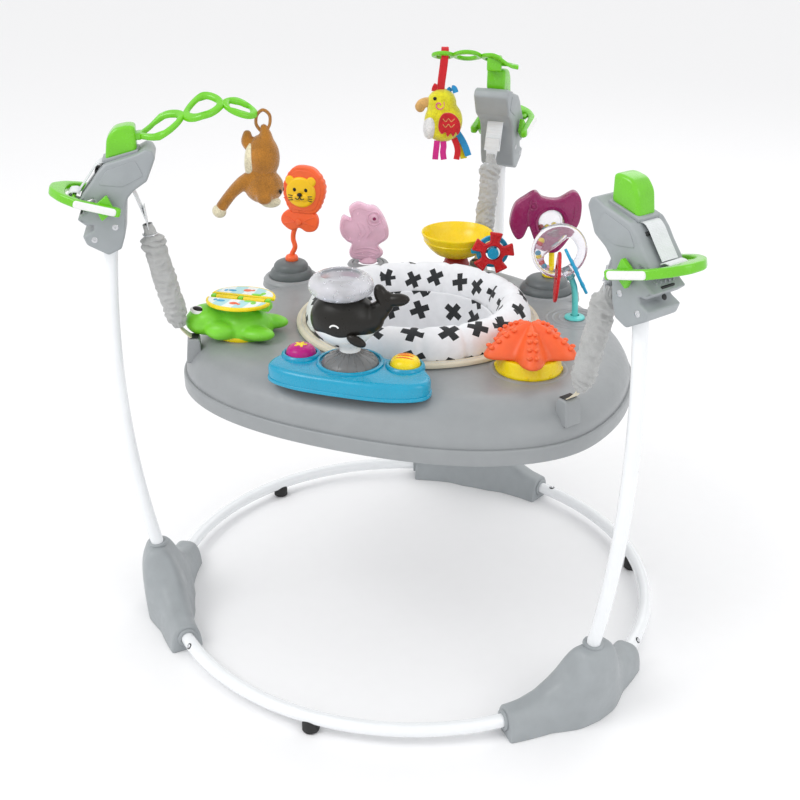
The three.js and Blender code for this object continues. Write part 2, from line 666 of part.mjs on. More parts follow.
Object.entries(buttons).forEach(([colour, [x, y]]) => {
  const low = buttonSize.well + buttonSize.travel + 1;
  const cap = turned([[0, low], [22.4, low], [22.4, 31], [19, 37], [12, 41], [0, 43]], 20);
  place(`button_${colour}`, cap, look[colour], consoleSpot).position.set(x, y, 0);
});
const coneSide = [[0, 14.4], [43, 14.4], [43, 18], [34, 26], [20, 33], [13, 40], [0, 40]];
place('whale_cone', turned(coneSide, 22), look.smoke, consoleSpot);
const whaleNeck = turned([[0, 40.4], [15, 40.4], [17, 48], [26, 58], [30, 66], [0, 66]], 14);
const whaleBody = ball(46, 33, 32, -2, 0, 84, 12);
const whaleTail = tube(new THREE.CatmullRomCurve3([vec(28, 0, 90), vec(48, 0, 104), vec(58, 0,
  118)]), 11, 3, 8);
const flukes = [ball(11, 9, 18, 54, 0, 132, 8), ball(20, 9, 10, 72, 0, 120, 8)];
const whaleFin = ball(14, 6, 7, 30, -26, 68, 8);
const spout = turned([[0, 108], [22, 108], [24, 122], [40, 132], [47, 144], [44, 155],
  [30, 161], [0, 162]], 14)
  .translate(-8, 0, 0);
place('whale_toy', join(whaleNeck, whaleBody, whaleTail, ...flukes, whaleFin, spout), look.black,
  consoleSpot);

// ---- Plush toys on the arms ----
const monkeySpot = group(-202, -116, 0, plushTilt);
const monkeyLoop = tube(new THREE.CatmullRomCurve3([vec(2, 0, 812), vec(6, 0, 826), vec(9, 0,
  840)]), 3, 3, 8);
const monkeyBody = [ball(22, 18, 34, 5, 0, 790), ball(30, 24, 28, 2, 0, 738, 12)];
const monkeyArm = [ball(36, 11, 11, -42, 0, 742), ball(14, 11, 22, -64, 0, 718)];
const monkeyLeg = ball(8, 8, 16, -18, 0, 812);
place('monkey_plush', join(...monkeyBody, ...monkeyArm, monkeyLeg, monkeyLoop), look.brown, monkeySpot);

const parrotSpot = group(-90, 380, 0, plushTilt);
const parrotLoop = box(-7, 7, -1.5, 1.5, 806, 836);
const parrotBody = [ball(27, 20, 28, 0, 0, 786, 12), ball(31, 21, 40, 8, 0, 752, 12)];
const beakAndTail = [ball(14, 9, 9, -28, 0, 778), ball(14, 6, 26, 20, 0, 712)];
place('parrot_plush', join(...parrotBody, ...beakAndTail, parrotLoop), look.plush, parrotSpot);

export default jumper;
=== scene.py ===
import math

import bmesh
import bpy
import numpy as np
from mathutils import Matrix, Vector, noise


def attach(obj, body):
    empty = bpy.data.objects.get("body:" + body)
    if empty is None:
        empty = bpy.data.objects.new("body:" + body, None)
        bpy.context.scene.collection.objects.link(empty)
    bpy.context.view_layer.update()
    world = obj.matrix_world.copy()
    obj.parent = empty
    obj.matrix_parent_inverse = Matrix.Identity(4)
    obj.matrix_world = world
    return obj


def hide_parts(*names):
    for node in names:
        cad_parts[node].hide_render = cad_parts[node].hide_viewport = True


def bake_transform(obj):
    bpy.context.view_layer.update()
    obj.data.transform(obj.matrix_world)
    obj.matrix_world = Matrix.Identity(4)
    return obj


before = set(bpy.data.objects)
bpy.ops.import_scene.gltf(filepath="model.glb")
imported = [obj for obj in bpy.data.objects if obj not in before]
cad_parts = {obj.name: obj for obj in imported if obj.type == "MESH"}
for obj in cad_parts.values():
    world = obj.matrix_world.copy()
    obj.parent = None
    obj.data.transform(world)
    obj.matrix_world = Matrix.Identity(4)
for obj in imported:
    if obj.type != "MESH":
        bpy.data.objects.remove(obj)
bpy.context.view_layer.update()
print("frame loaded")

# The jumper is drawn in millimetres round the middle of its floor ring, and then put in the row frame
mm = 0.001
ringShift = -55.9
postTurns = {"left": 210, "right": 330, "back": 90}
deck = 504.35


def spot(x=0.0, y=0.0, z=0.0, turn=0.0):
    place = Matrix.Translation((x * mm, (y + ringShift) * mm, z * mm))
    return place @ Matrix.Rotation(math.radians(turn), 4, "Z") @ Matrix.Scale(mm, 4)


def local(x=0.0, y=0.0, z=0.0, tilt=0.0, axis="Y"):
    return Matrix.Translation((x, y, z)) @ Matrix.Rotation(math.radians(tilt), 4, axis)


class Finish:  # wires one material's nodes
    def __init__(self, name):
        self.material = bpy.data.materials.new(name)
        self.material.use_nodes = True
        self.tree = self.material.node_tree
        self.shader = self.tree.nodes["Principled BSDF"]

    def node(self, kind, **values):
        made = self.tree.nodes.new(kind)
        for key, value in values.items():
            if hasattr(made, key):
                setattr(made, key, value)
            else:
                made.inputs[key.replace("_", " ")].default_value = value
        return made

    def link(self, source, target):
        self.tree.links.new(source, target)

    def place(self, scale=(1, 1, 1)):
        coordinate = self.node("ShaderNodeTexCoord")
        mapping = self.node("ShaderNodeMapping")
        mapping.inputs["Scale"].default_value = scale
        self.link(coordinate.outputs["Object"], mapping.inputs["Vector"])
        return mapping.outputs["Vector"]

    def cloud(self, scale, detail=3.0, roughness=0.5, vector=None):
        made = self.node("ShaderNodeTexNoise", Scale=scale, Detail=detail, Roughness=roughness)
        self.link(vector or self.place(), made.inputs["Vector"])
        return made.outputs["Fac"]

    def ramp(self, source, low, high, lowAt=0.3, highAt=0.7):
        made = self.node("ShaderNodeValToRGB")
        made.color_ramp.elements[0].position = lowAt
        made.color_ramp.elements[0].color = (*low, 1)
        made.color_ramp.elements[1].position = highAt
        made.color_ramp.elements[1].color = (*high, 1)
        self.link(source, made.inputs["Fac"])
        return made.outputs["Color"]

    def spread(self, source, low, high, sourceLow=0.3, sourceHigh=0.7):
        made = self.node("ShaderNodeMapRange")
        for key, value in zip(("From Min", "From Max", "To Min", "To Max"),
                              (sourceLow, sourceHigh, low, high)):
            made.inputs[key].default_value = value
        self.link(source, made.inputs["Value"])
        return made.outputs["Result"]

    def maths(self, operation, first, second=None):
        made = self.node("ShaderNodeMath", operation=operation)
        for index, value in enumerate((first, second)):
            if value is None:
                continue
            if isinstance(value, (int, float)):
                made.inputs[index].default_value = value
            else:
                self.link(value, made.inputs[index])
        return made.outputs["Value"]

    def bump(self, height, strength=0.3, distance=0.0004, before=None):
        made = self.node("ShaderNodeBump", Strength=strength, Distance=distance)
        self.link(height, made.inputs["Height"])
        if before is not None:
            self.link(before, made.inputs["Normal"])
        return made.outputs["Normal"]


def shade(colour, by):
    return tuple(max(0.0, min(1.0, c * by)) for c in colour)


# Moulded plastic: a little cloudiness in the colour, and a fine grain
def plasticFinish(name, colour, rough=0.35, grain=900, grainDepth=0.00004, spread=0.08, **shader):
    finish = Finish(name)
    clouds = finish.cloud(38, 4)
    finish.link(finish.ramp(clouds, shade(colour, 1 - spread), shade(colour, 1 + spread)),
                finish.shader.inputs["Base Color"])
    finish.link(finish.spread(finish.cloud(130, 5), rough - 0.06, rough + 0.08),
                finish.shader.inputs["Roughness"])
    grainHeight = finish.cloud(grain, 2, 0.6)
    finish.link(finish.bump(grainHeight, 0.5, grainDepth), finish.shader.inputs["Normal"])
    for key, value in shader.items():
        finish.shader.inputs[key.replace("_", " ")].default_value = value
    return finish.material


# Woven cloth: crossing threads from three waves
def clothFinish(name, colour, thread=0.0011, spread=0.1, fuzz=0.35, depth=0.0004):
    finish = Finish(name)
    coordinate = finish.node("ShaderNodeTexCoord")
    waves = []
    for axis in ("X", "Y", "Z"):
        wave = finish.node("ShaderNodeTexWave", bands_direction=axis, Scale=0.314 / thread, Distortion=0.6,
                           Detail=1.0)
        finish.link(coordinate.outputs["Object"], wave.inputs["Vector"])
        waves.append(wave.outputs["Fac"])
    weave = finish.maths("MULTIPLY", waves[0], waves[1])
    weave = finish.maths("ADD", weave, finish.maths("MULTIPLY", waves[2], 0.5))
    soft = finish.cloud(60, 5)
    tone = finish.maths("ADD", finish.maths("MULTIPLY", weave, 0.35), finish.maths("MULTIPLY", soft, 0.65))
    finish.link(finish.ramp(tone, shade(colour, 1 - spread), shade(colour, 1 + spread)),
                finish.shader.inputs["Base Color"])
    finish.shader.inputs["Roughness"].default_value = 0.92
    finish.shader.inputs["Sheen Weight"].default_value = fuzz
    finish.shader.inputs["Sheen Roughness"].default_value = 0.5
    creases = finish.bump(finish.cloud(45, 6, 0.6), 0.5, 0.0012)
    finish.link(finish.bump(weave, 0.7, depth, creases), finish.shader.inputs["Normal"])
    return finish.material


def plushFinish(name, colour, pile=0.0016):  # short pile: tufts from a fine noise; their colour is painted shade low between the tufts and a painted highlight at their tips
    finish = Finish(name)
    tufts = finish.cloud(520, 6, 0.75)
    patches = finish.cloud(55, 3)
    # tone: the tuft part is painted shade and painted highlight following the pile's bumps; the patches are
    # the plush's own uneven tone
    tone = finish.maths("ADD", finish.maths("MULTIPLY", tufts, 0.65), finish.maths("MULTIPLY", patches, 0.35))
    finish.link(finish.ramp(tone, shade(colour, 0.55), shade(colour, 1.3), 0.36, 0.66),
                finish.shader.inputs["Base Color"])
    finish.shader.inputs["Roughness"].default_value = 0.95
    finish.shader.inputs["Sheen Weight"].default_value = 0.8
    finish.shader.inputs["Sheen Roughness"].default_value = 0.4
    finish.link(finish.bump(tufts, 0.9, pile), finish.shader.inputs["Normal"])
    return finish.material


# See-through tinted plastic
def gelFinish(name, colour, rough=0.12, weight=0.75, spread=0.1, bumpDepth=0.00005):
    return plasticFinish(name, colour, rough, 300, bumpDepth, spread, Transmission_Weight=weight, IOR=1.35,
                         Specular_IOR_Level=0.5)


# White cloth with small crosses, each turned its own way, on the seat's own map in metres
def printedSeatFinish(name, cloth, ink):
    finish = Finish(name)
    cell, arm, half = 0.05, 0.0162, 0.0054
    coordinate = finish.node("ShaderNodeTexCoord")
    voronoi = finish.node("ShaderNodeTexVoronoi", voronoi_dimensions="2D", Scale=1 / cell, Randomness=0.3)
    finish.link(coordinate.outputs["UV"], voronoi.inputs["Vector"])
    apart = finish.node("ShaderNodeVectorMath", operation="SUBTRACT")
    finish.link(coordinate.outputs["UV"], apart.inputs[0])
    finish.link(voronoi.outputs["Position"], apart.inputs[1])
    offset = finish.node("ShaderNodeVectorMath", operation="SCALE")
    offset.inputs["Scale"].default_value = 1 / cell
    finish.link(apart.outputs["Vector"], offset.inputs[0])
    dice = finish.node("ShaderNodeTexWhiteNoise", noise_dimensions="3D")
    finish.link(voronoi.outputs["Position"], dice.inputs["Vector"])
    turn = finish.maths("MULTIPLY", dice.outputs["Value"], math.pi)
    turned = finish.node("ShaderNodeVectorRotate", rotation_type="Z_AXIS")
    finish.link(offset.outputs["Vector"], turned.inputs["Vector"])
    finish.link(turn, turned.inputs["Angle"])
    split = finish.node("ShaderNodeSeparateXYZ")
    finish.link(turned.outputs["Vector"], split.inputs["Vector"])
    across = finish.maths("ABSOLUTE", split.outputs["X"])
    along = finish.maths("ABSOLUTE", split.outputs["Y"])
    bars = []
    for narrow, wide in ((across, along), (along, across)):
        thin = finish.maths("LESS_THAN", narrow, half / cell)
        short = finish.maths("LESS_THAN", wide, arm / cell)
        bars.append(finish.maths("MULTIPLY", thin, short))
    mark = finish.maths("MAXIMUM", *bars)
    clouds = finish.ramp(finish.cloud(70, 4), shade(cloth, 0.93), cloth)
    blend = finish.node("ShaderNodeMix", data_type="RGBA")
    for socket in blend.inputs:
        if socket.identifier == "A_Color":
            finish.link(clouds, socket)
        if socket.identifier == "B_Color":
            socket.default_value = (*ink, 1)
    finish.link(mark, blend.inputs["Factor"])
    finish.link(next(s for s in blend.outputs if s.identifier == "Result_Color"),
                finish.shader.inputs["Base Color"])
    finish.shader.inputs["Roughness"].default_value = 0.9
    finish.shader.inputs["Sheen Weight"].default_value = 0.12
    finish.shader.inputs["Sheen Roughness"].default_value = 0.5
    wave = finish.node("ShaderNodeTexWave", bands_direction="X", Scale=300.0, Distortion=0.4)
    finish.link(coordinate.outputs["UV"], wave.inputs["Vector"])
    other = finish.node("ShaderNodeTexWave", bands_direction="Y", Scale=300.0, Distortion=0.4)
    finish.link(coordinate.outputs["UV"], other.inputs["Vector"])
    weave = finish.maths("MULTIPLY", wave.outputs["Fac"], other.outputs["Fac"])
    creases = finish.bump(finish.cloud(40, 6, 0.6), 0.55, 0.0016)
    finish.link(finish.bump(weave, 0.5, 0.0003, creases), finish.shader.inputs["Normal"])
    return finish.material


# Two colours in bands, for the turtle's pages
def stripedFinish(name, low, high, bands, direction="X", rough=0.35, distortion=0.0, cutAt=0.5, width=0.02):
    finish = Finish(name)
    wave = finish.node("ShaderNodeTexWave", bands_direction=direction, Scale=bands, Distortion=distortion,
                       Detail=2.0)
    finish.link(finish.place(), wave.inputs["Vector"])
    finish.link(finish.ramp(wave.outputs["Fac"], low, high, cutAt - width, cutAt + width),
                finish.shader.inputs["Base Color"])
    finish.link(finish.spread(finish.cloud(150, 4), rough - 0.05, rough + 0.07),
                finish.shader.inputs["Roughness"])
    finish.link(finish.bump(finish.cloud(700, 2), 0.4, 0.00004), finish.shader.inputs["Normal"])
    return finish.material


look = {
    "tube": plasticFinish("powder white", (0.86, 0.88, 0.9), 0.16, 1400, 0.00003, 0.015, Coat_Weight=0.5,
                          Coat_Roughness=0.08),
    "grey": plasticFinish("moulded grey", (0.33, 0.355, 0.37), 0.42, 1500, 0.00008, 0.05),
    "tray": plasticFinish("tray grey", (0.29, 0.305, 0.315), 0.36, 1500, 0.00005, 0.03),
    "underside": plasticFinish("tray underside grey", (0.2, 0.21, 0.22), 0.6, 900, 0.0001, 0.08),
    "darkGrey": plasticFinish("dome grey", (0.115, 0.13, 0.135), 0.4, 900, 0.00006, 0.08),
    "green": plasticFinish("leaf green", (0.15, 0.56, 0.008), 0.24, 1000, 0.00003, 0.06, Coat_Weight=0.3,
                           Coat_Roughness=0.1),
    "rubber": plasticFinish("foot rubber", (0.018, 0.018, 0.018), 0.72, 1400, 0.00012, 0.2),
    "steel": plasticFinish("spring steel", (0.6, 0.61, 0.63), 0.28, 2000, 0.00002, 0.08, Metallic=1.0),
    # painted shade: a near-black finish for pieces that stand in for the shade inside holes, slots and slits
    "dark": plasticFinish("painted hollow shade", (0.02, 0.021, 0.022), 0.7, 900, 0.0001, 0.2),
    "webbing": clothFinish("white webbing", (0.74, 0.76, 0.78), 0.0016, 0.06, 0.25, 0.0005),
    "creamWeb": clothFinish("cream webbing", (0.72, 0.66, 0.5), 0.0016, 0.07, 0.25, 0.0005),
    "sleeve": clothFinish("sleeve cloth", (0.46, 0.465, 0.46), 0.0008, 0.09, 0.3, 0.0003),
    "piping": clothFinish("cream piping", (0.74, 0.68, 0.53), 0.0009, 0.06, 0.3, 0.0003),
    "seat": printedSeatFinish("printed seat cloth", (0.86, 0.87, 0.9), (0.02, 0.022, 0.025)),
    "orange": plasticFinish("lion orange", (0.88, 0.12, 0.025), 0.38, 900, 0.00004, 0.06,
                            Subsurface_Weight=0.08),
    "starfish": plasticFinish("starfish orange", (0.9, 0.13, 0.03), 0.38, 700, 0.00006, 0.07,
                              Subsurface_Weight=0.08),
    "yellow": plasticFinish("sun yellow", (0.92, 0.68, 0.002), 0.26, 900, 0.00003, 0.05,
                            Subsurface_Weight=0.06),
    "lemon": plasticFinish("face yellow", (0.88, 0.52, 0.0), 0.34, 900, 0.00003, 0.05),
    "red": plasticFinish("charm red", (0.62, 0.006, 0.012), 0.28, 900, 0.00003, 0.08),
    "darkRed": plasticFinish("bowl base red", (0.36, 0.012, 0.012), 0.36, 900, 0.00003, 0.1),
    "blue": plasticFinish("console blue", (0.0, 0.31, 0.5), 0.24, 1000, 0.00003, 0.04, Coat_Weight=0.15,
                          Coat_Roughness=0.08),
    "ringBlue": plasticFinish("ring blue", (0.003, 0.34, 0.6), 0.28, 1000, 0.00003, 0.06),
    "magenta": plasticFinish("toucan magenta", (0.24, 0.002, 0.085), 0.25, 1000, 0.00003, 0.08,
                             Coat_Weight=0.3, Coat_Roughness=0.1),
    "teal": plasticFinish("stem teal", (0.12, 0.62, 0.6), 0.3, 900, 0.00003, 0.06),
    "turtle": plasticFinish("turtle green", (0.2, 0.66, 0.03), 0.33, 600, 0.00006, 0.1),
    "black": plasticFinish("whale black", (0.012, 0.01, 0.008), 0.3, 1200, 0.00002, 0.12,
                           Specular_IOR_Level=0.3),
    "white": plasticFinish("toy white", (0.85, 0.85, 0.84), 0.3, 1000, 0.00003, 0.03),
    "pink": gelFinish("fish pink", (0.93, 0.6, 0.76), 0.2, 0.18),
    "clear": gelFinish("clear shell", (0.94, 0.93, 0.97), 0.07, 0.88, 0.03),
    "frosted": gelFinish("frosted cup", (0.92, 0.92, 0.96), 0.22, 0.66, 0.05),
    "smoke": gelFinish("smoke cone", (0.25, 0.25, 0.25), 0.14, 0.35),
    "buttonPink": gelFinish("magenta button", (0.78, 0.02, 0.32), 0.15, 0.4),
    "brown": plushFinish("brown plush", (0.46, 0.185, 0.018)),
    "plushYellow": plushFinish("yellow plush", (0.88, 0.74, 0.015)),
    "cream": plushFinish("cream plush", (0.78, 0.7, 0.5), 0.0009),
    "plushWhite": plushFinish("white plush", (0.82, 0.83, 0.84), 0.0009),
    "plushRed": plushFinish("red felt", (0.58, 0.012, 0.02), 0.0006),
    "plushPink": plushFinish("pink felt", (0.78, 0.1, 0.3), 0.0006),
    "plushTan": plushFinish("tan felt", (0.72, 0.42, 0.14), 0.0006),
    "redRibbon": clothFinish("red ribbon", (0.62, 0.01, 0.02), 0.0007, 0.1, 0.3, 0.0002),
    "pinkRibbon": clothFinish("magenta ribbon", (0.62, 0.02, 0.25), 0.0007, 0.1, 0.3, 0.0002),
    "blueRibbon": clothFinish("blue ribbon", (0.02, 0.28, 0.6), 0.0007, 0.1, 0.3, 0.0002),
}
print("finishes made:", len(look))


def smoothLine(points, count, closed=False):  # a Catmull-Rom line through the points, evenly spaced
    pts = [np.array(p, float) for p in points]
    total = len(pts)
    spans = total if closed else total - 1
    line = []
    steps = max(4, math.ceil(count / spans) * 3)
    for i in range(spans):
        if closed:
            a, b, c, d = (pts[(i + k) % total] for k in (-1, 0, 1, 2))
        else:
            a, b, c, d = (pts[min(max(i + k, 0), total - 1)] for k in (-1, 0, 1, 2))
        for s in range(steps):
            t = s / steps
            line.append(0.5 * (2 * b + (c - a) * t + (2 * a - 5 * b + 4 * c - d) * t * t
                               + (3 * b - a - 3 * c + d) * t ** 3))
    line.append(line[0] if closed else pts[-1])
    line = np.array(line)
    reach = np.concatenate([[0], np.cumsum(np.linalg.norm(np.diff(line, axis=0), axis=1))])
    at = np.linspace(0, reach[-1], count + 1 if closed else count)
    even = np.stack([np.interp(at, reach, line[:, k]) for k in range(line.shape[1])], axis=1)
    return even[:-1] if closed else even


def smoothTable(table, at, soft=6.0):  # a table of (place, value) read with its corners rounded off
    xs, ys = zip(*table)
    steps = np.linspace(-soft, soft, 9)
    weights = np.exp(-((steps / soft) ** 2) * 1.5)
    value = sum(w * np.interp(np.asarray(at, float) + s, xs, ys) for s, w in zip(steps, weights))
    return value / weights.sum()


def newMesh(verts, faces):
    mesh = bpy.data.meshes.new("shape")
    mesh.from_pydata([tuple(v) for v in verts], [], [tuple(f) for f in faces])
    return mesh


# Faces between rings of points; rings run round, and may close on the first
def skinRings(rings, closedWay=False):
    count, total = len(rings[0]), len(rings)
    verts = [p for ring in rings for p in ring]
    faces = []
    for i in range(total if closedWay else total - 1):
        for j in range(count):
            k, n = (j + 1) % count, (i + 1) % total
            faces.append((i * count + j, i * count + k, n * count + k, n * count + j))
    if not closedWay:
        for end in (0, total - 1):
            hub = len(verts)
            verts.append(np.mean(rings[end], axis=0))
            for j in range(count):
                k = (j + 1) % count
                face = (hub, end * count + k, end * count + j)
                faces.append(face if end == 0 else face[::-1])
    return newMesh(verts, faces)


def lathe(profile, segments=64):  # a profile of (radius, height) turned round Z, closed at the axis
    rings = []
    for r, z in profile:
        r = max(r, 0.0)
        rings.append([(r * math.cos(2 * math.pi * j / segments), r * math.sin(2 * math.pi * j / segments), z)
                      for j in range(segments)])
    return welded(skinRings(rings))


def ringLathe(profile, segments=72):  # a closed profile away from the axis, such as a collar or a lip
    rings = [[(r * math.cos(2 * math.pi * j / segments), r * math.sin(2 * math.pi * j / segments), z)
              for j in range(segments)] for r, z in profile]
    return welded(skinRings(rings, closedWay=True))


def welded(mesh, distance=1e-4):
    shape = bmesh.new()
    shape.from_mesh(mesh)
    bmesh.ops.remove_doubles(shape, verts=shape.verts, dist=distance)
    bmesh.ops.dissolve_degenerate(shape, edges=shape.edges, dist=distance)
    bmesh.ops.recalc_face_normals(shape, faces=shape.faces)
    shape.to_mesh(mesh)
    shape.free()
    return mesh


def evaluated(mesh, *modifiers):  # the mesh after modifiers, each (type, settings)
    holder = bpy.data.objects.new("holder", mesh)
    bpy.context.scene.collection.objects.link(holder)
    for kind, settings in modifiers:
        modifier = holder.modifiers.new(kind, kind)
        for key, value in settings.items():
            setattr(modifier, key, value)
    graph = bpy.context.evaluated_depsgraph_get()
    result = bpy.data.meshes.new_from_object(holder.evaluated_get(graph))
    bpy.data.objects.remove(holder)
    return result


def curveMesh(curve):
    holder = bpy.data.objects.new("curve", curve)
    bpy.context.scene.collection.objects.link(holder)
    graph = bpy.context.evaluated_depsgraph_get()
    result = bpy.data.meshes.new_from_object(holder.evaluated_get(graph))
    bpy.data.objects.remove(holder)
    return welded(result)


# A flat piece with rounded edges; upright ones are drawn in X and Z
def plate(loop, thickness, roundness=1.5, holes=(), upright=True, steps=3):
    curve = bpy.data.curves.new("plate", "CURVE")
    curve.dimensions = "2D"
    curve.fill_mode = "BOTH"
    for points in (loop, *holes):
        spline = curve.splines.new("POLY")
        spline.points.add(len(points) - 1)
        for point, (x, y) in zip(spline.points, points):
            point.co = (x, y, 0, 1)
        spline.use_cyclic_u = True
    curve.extrude = max(thickness / 2 - roundness, 0.001)
    curve.bevel_depth = roundness
    curve.offset = -roundness
    curve.bevel_resolution = steps
    mesh = curveMesh(curve)
    if upright:
        mesh.transform(Matrix.Rotation(math.pi / 2, 4, "X"))
    return mesh


# A round rod along points, with its ends filled
def sweep(points, radius, sides=24, closed=False, radii=None):
    curve = bpy.data.curves.new("rod", "CURVE")
    curve.dimensions = "3D"
    curve.bevel_depth = radius
    curve.bevel_resolution = max(1, sides // 4 - 1)
    curve.use_fill_caps = not closed
    spline = curve.splines.new("POLY")
    spline.points.add(len(points) - 1)
    for i, (point, place) in enumerate(zip(spline.points, points)):
        point.co = (*place, 1)
        point.radius = radii[i] if radii is not None else 1.0
    spline.use_cyclic_u = closed
    return curveMesh(curve)


# Webbing or ribbon along points, its width along side
def strip(points, width, thickness, side=(0, 1, 0), corner=0.5):
    pts = np.array(points, float)
    way = np.gradient(pts, axis=0)
    way /= np.linalg.norm(way, axis=1)[:, None]
    across = np.tile(np.array(side, float), (len(pts), 1))
    up = np.cross(across, way)
    up /= np.linalg.norm(up, axis=1)[:, None]
    across = np.cross(way, up)
    widths = np.broadcast_to(width, len(pts))
    rings = []
    for p, a, u, w in zip(pts, across, up, widths):
        h, t, r = w / 2, thickness / 2, min(corner, thickness / 2.01)
        section = [(-h, 0), (-h + r, t), (-h / 2, t), (0, t), (h / 2, t), (h - r, t), (h, 0), (h - r, -t),
                   (h / 2, -t), (0, -t), (-h / 2, -t), (-h + r, -t)]
        rings.append([p + a * s + u * v for s, v in section])
    return welded(skinRings(rings), 1e-5)


def ball(rx, ry, rz, x=0.0, y=0.0, z=0.0, tilt=0.0, axis="Y", rings=24):
    shape = bmesh.new()
    bmesh.ops.create_uvsphere(shape, u_segments=2 * rings, v_segments=rings, radius=1.0)
    mesh = bpy.data.meshes.new("ball")
    shape.to_mesh(mesh)
    shape.free()
    mesh.transform(local(x, y, z, tilt, axis) @ Matrix.Diagonal((rx, ry, rz, 1)))
    return mesh


def block(x0, x1, y0, y1, z0, z1, roundness=1.0):
    shape = bmesh.new()
    bmesh.ops.create_cube(shape, size=1.0)
    mesh = bpy.data.meshes.new("block")
    shape.to_mesh(mesh)
    shape.free()
    size = Matrix.Diagonal((x1 - x0, y1 - y0, z1 - z0, 1))
    mesh.transform(Matrix.Translation(((x0 + x1) / 2, (y0 + y1) / 2, (z0 + z1) / 2)) @ size)
    return evaluated(mesh, ("BEVEL", {"width": roundness, "segments": 3, "limit_method": "NONE"}))


def merged(*meshes):
    shape = bmesh.new()
    for mesh in meshes:
        shape.from_mesh(mesh)
    result = bpy.data.meshes.new("merged")
    shape.to_mesh(result)
    shape.free()
    return result


def fused(voxel, smooth, *meshes):  # several closed shapes run into one, like a moulding or a stuffed toy
    return evaluated(
        merged(*meshes),
        ("REMESH", {"mode": "VOXEL", "voxel_size": voxel, "use_smooth_shade": True}),
        ("SMOOTH", {"iterations": smooth, "factor": 0.5}),
    )


# A finished piece: put in the row frame, smoothed, and riding on its body
def piece(name, mesh, at, material, body, stands=(), crease=38, keepNormals=False):
    mesh.name = name
    mesh.transform(at)
    if not keepNormals:
        welded(mesh, 1e-7)
    mesh.materials.clear()
    for one in material if isinstance(material, (list, tuple)) else [material]:
        mesh.materials.append(one)
    mesh.shade_smooth()
    if crease:
        mesh.set_sharp_from_angle(angle=math.radians(crease))
    made = bpy.data.objects.new(name, mesh)
    bpy.context.scene.collection.objects.link(made)
    if body:
        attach(made, body)
    if stands:
        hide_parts(*stands)
    return made


def nodeTree(name, **sizes):  # a tree with its named inputs; a name's _ stands for a space
    tree = bpy.data.node_groups.new(name, "GeometryNodeTree")
    for label, kind in {"Geometry": "Geometry", **sizes, "Finish": "Material"}.items():
        tree.interface.new_socket(label.replace("_", " "), in_out="INPUT", socket_type=f"NodeSocket{kind}")
    tree.interface.new_socket("Geometry", in_out="OUTPUT", socket_type="NodeSocketGeometry")
    return tree, tree.nodes.new("NodeGroupInput")


def endTree(tree, start, shape):  # real meshes with their finish on
    real, finish = tree.nodes.new("GeometryNodeRealizeInstances"), tree.nodes.new("GeometryNodeSetMaterial")
    end = tree.nodes.new("NodeGroupOutput")
    tree.links.new(shape, real.inputs["Geometry"])
    tree.links.new(real.outputs["Geometry"], finish.inputs["Geometry"])
    tree.links.new(start.outputs["Finish"], finish.inputs["Material"])
    tree.links.new(finish.outputs["Geometry"], end.inputs["Geometry"])
    return tree


def rodTree():  # a rod with capped ends along the object's own curve
    tree, start = nodeTree("rod along curve", Radius="Float", Sides="Int")
    ring = tree.nodes.new("GeometryNodeCurvePrimitiveCircle")
    skin = tree.nodes.new("GeometryNodeCurveToMesh")
    skin.inputs["Fill Caps"].default_value = True
    tree.links.new(start.outputs["Radius"], ring.inputs["Radius"])
    tree.links.new(start.outputs["Sides"], ring.inputs["Resolution"])
    tree.links.new(start.outputs["Geometry"], skin.inputs["Curve"])
    tree.links.new(ring.outputs["Curve"], skin.inputs["Profile Curve"])
    return endTree(tree, start, skin.outputs["Mesh"])


def repeatTree():  # a small piece set at every point of a guide, turned as the guide's points say
    tree, start = nodeTree("repeat on guide", Piece="Object", Size="Float", Size_spread="Float", Seed="Int")
    source = tree.nodes.new("GeometryNodeObjectInfo")
    turn = tree.nodes.new("GeometryNodeInputNamedAttribute")
    turn.data_type = "FLOAT_VECTOR"
    turn.inputs["Name"].default_value = "turn"
    dice = tree.nodes.new("FunctionNodeRandomValue")
    dice.data_type = "FLOAT"
    for operation, limit in (("SUBTRACT", 2), ("ADD", 3)):
        side = tree.nodes.new("ShaderNodeMath")
        side.operation = operation
        tree.links.new(start.outputs["Size"], side.inputs[0])
        tree.links.new(start.outputs["Size spread"], side.inputs[1])
        tree.links.new(side.outputs[0], dice.inputs[limit])
    tree.links.new(start.outputs["Seed"], dice.inputs["Seed"])
    copies = tree.nodes.new("GeometryNodeInstanceOnPoints")
    tree.links.new(start.outputs["Piece"], source.inputs["Object"])
    tree.links.new(start.outputs["Geometry"], copies.inputs["Points"])
    tree.links.new(source.outputs["Geometry"], copies.inputs["Instance"])
    tree.links.new(turn.outputs["Attribute"], copies.inputs["Rotation"])
    tree.links.new(dice.outputs[1], copies.inputs["Scale"])
    return endTree(tree, start, copies.outputs["Instances"])


def throughNodes(holder, tree, values):  # sets the inputs by their identifiers and returns the plain mesh
    modifier = holder.modifiers.new("nodes", "NODES")
    modifier.node_group = tree
    known = {item.name: item.identifier for item in tree.interface.items_tree if item.in_out == "INPUT"}
    for key, value in values.items():
        modifier[known[key]] = value
    graph = bpy.context.evaluated_depsgraph_get()
    mesh = bpy.data.meshes.new_from_object(holder.evaluated_get(graph))
    holder.modifiers.remove(modifier)
    bpy.data.objects.remove(holder)
    return mesh


rodNodes, repeatNodes = rodTree(), repeatTree()


def rod(points, radius, sides, material):  # a long rod made by nodes along a smooth line
    curve = bpy.data.curves.new("rodLine", "CURVE")
    curve.dimensions = "3D"
    spline = curve.splines.new("POLY")
    spline.points.add(len(points) - 1)
    for point, place in zip(spline.points, points):
        point.co = (*place, 1)
    holder = bpy.data.objects.new("rodLine", curve)
    bpy.context.scene.collection.objects.link(holder)
    return throughNodes(holder, rodNodes, {"Radius": radius, "Sides": sides, "Finish": material})


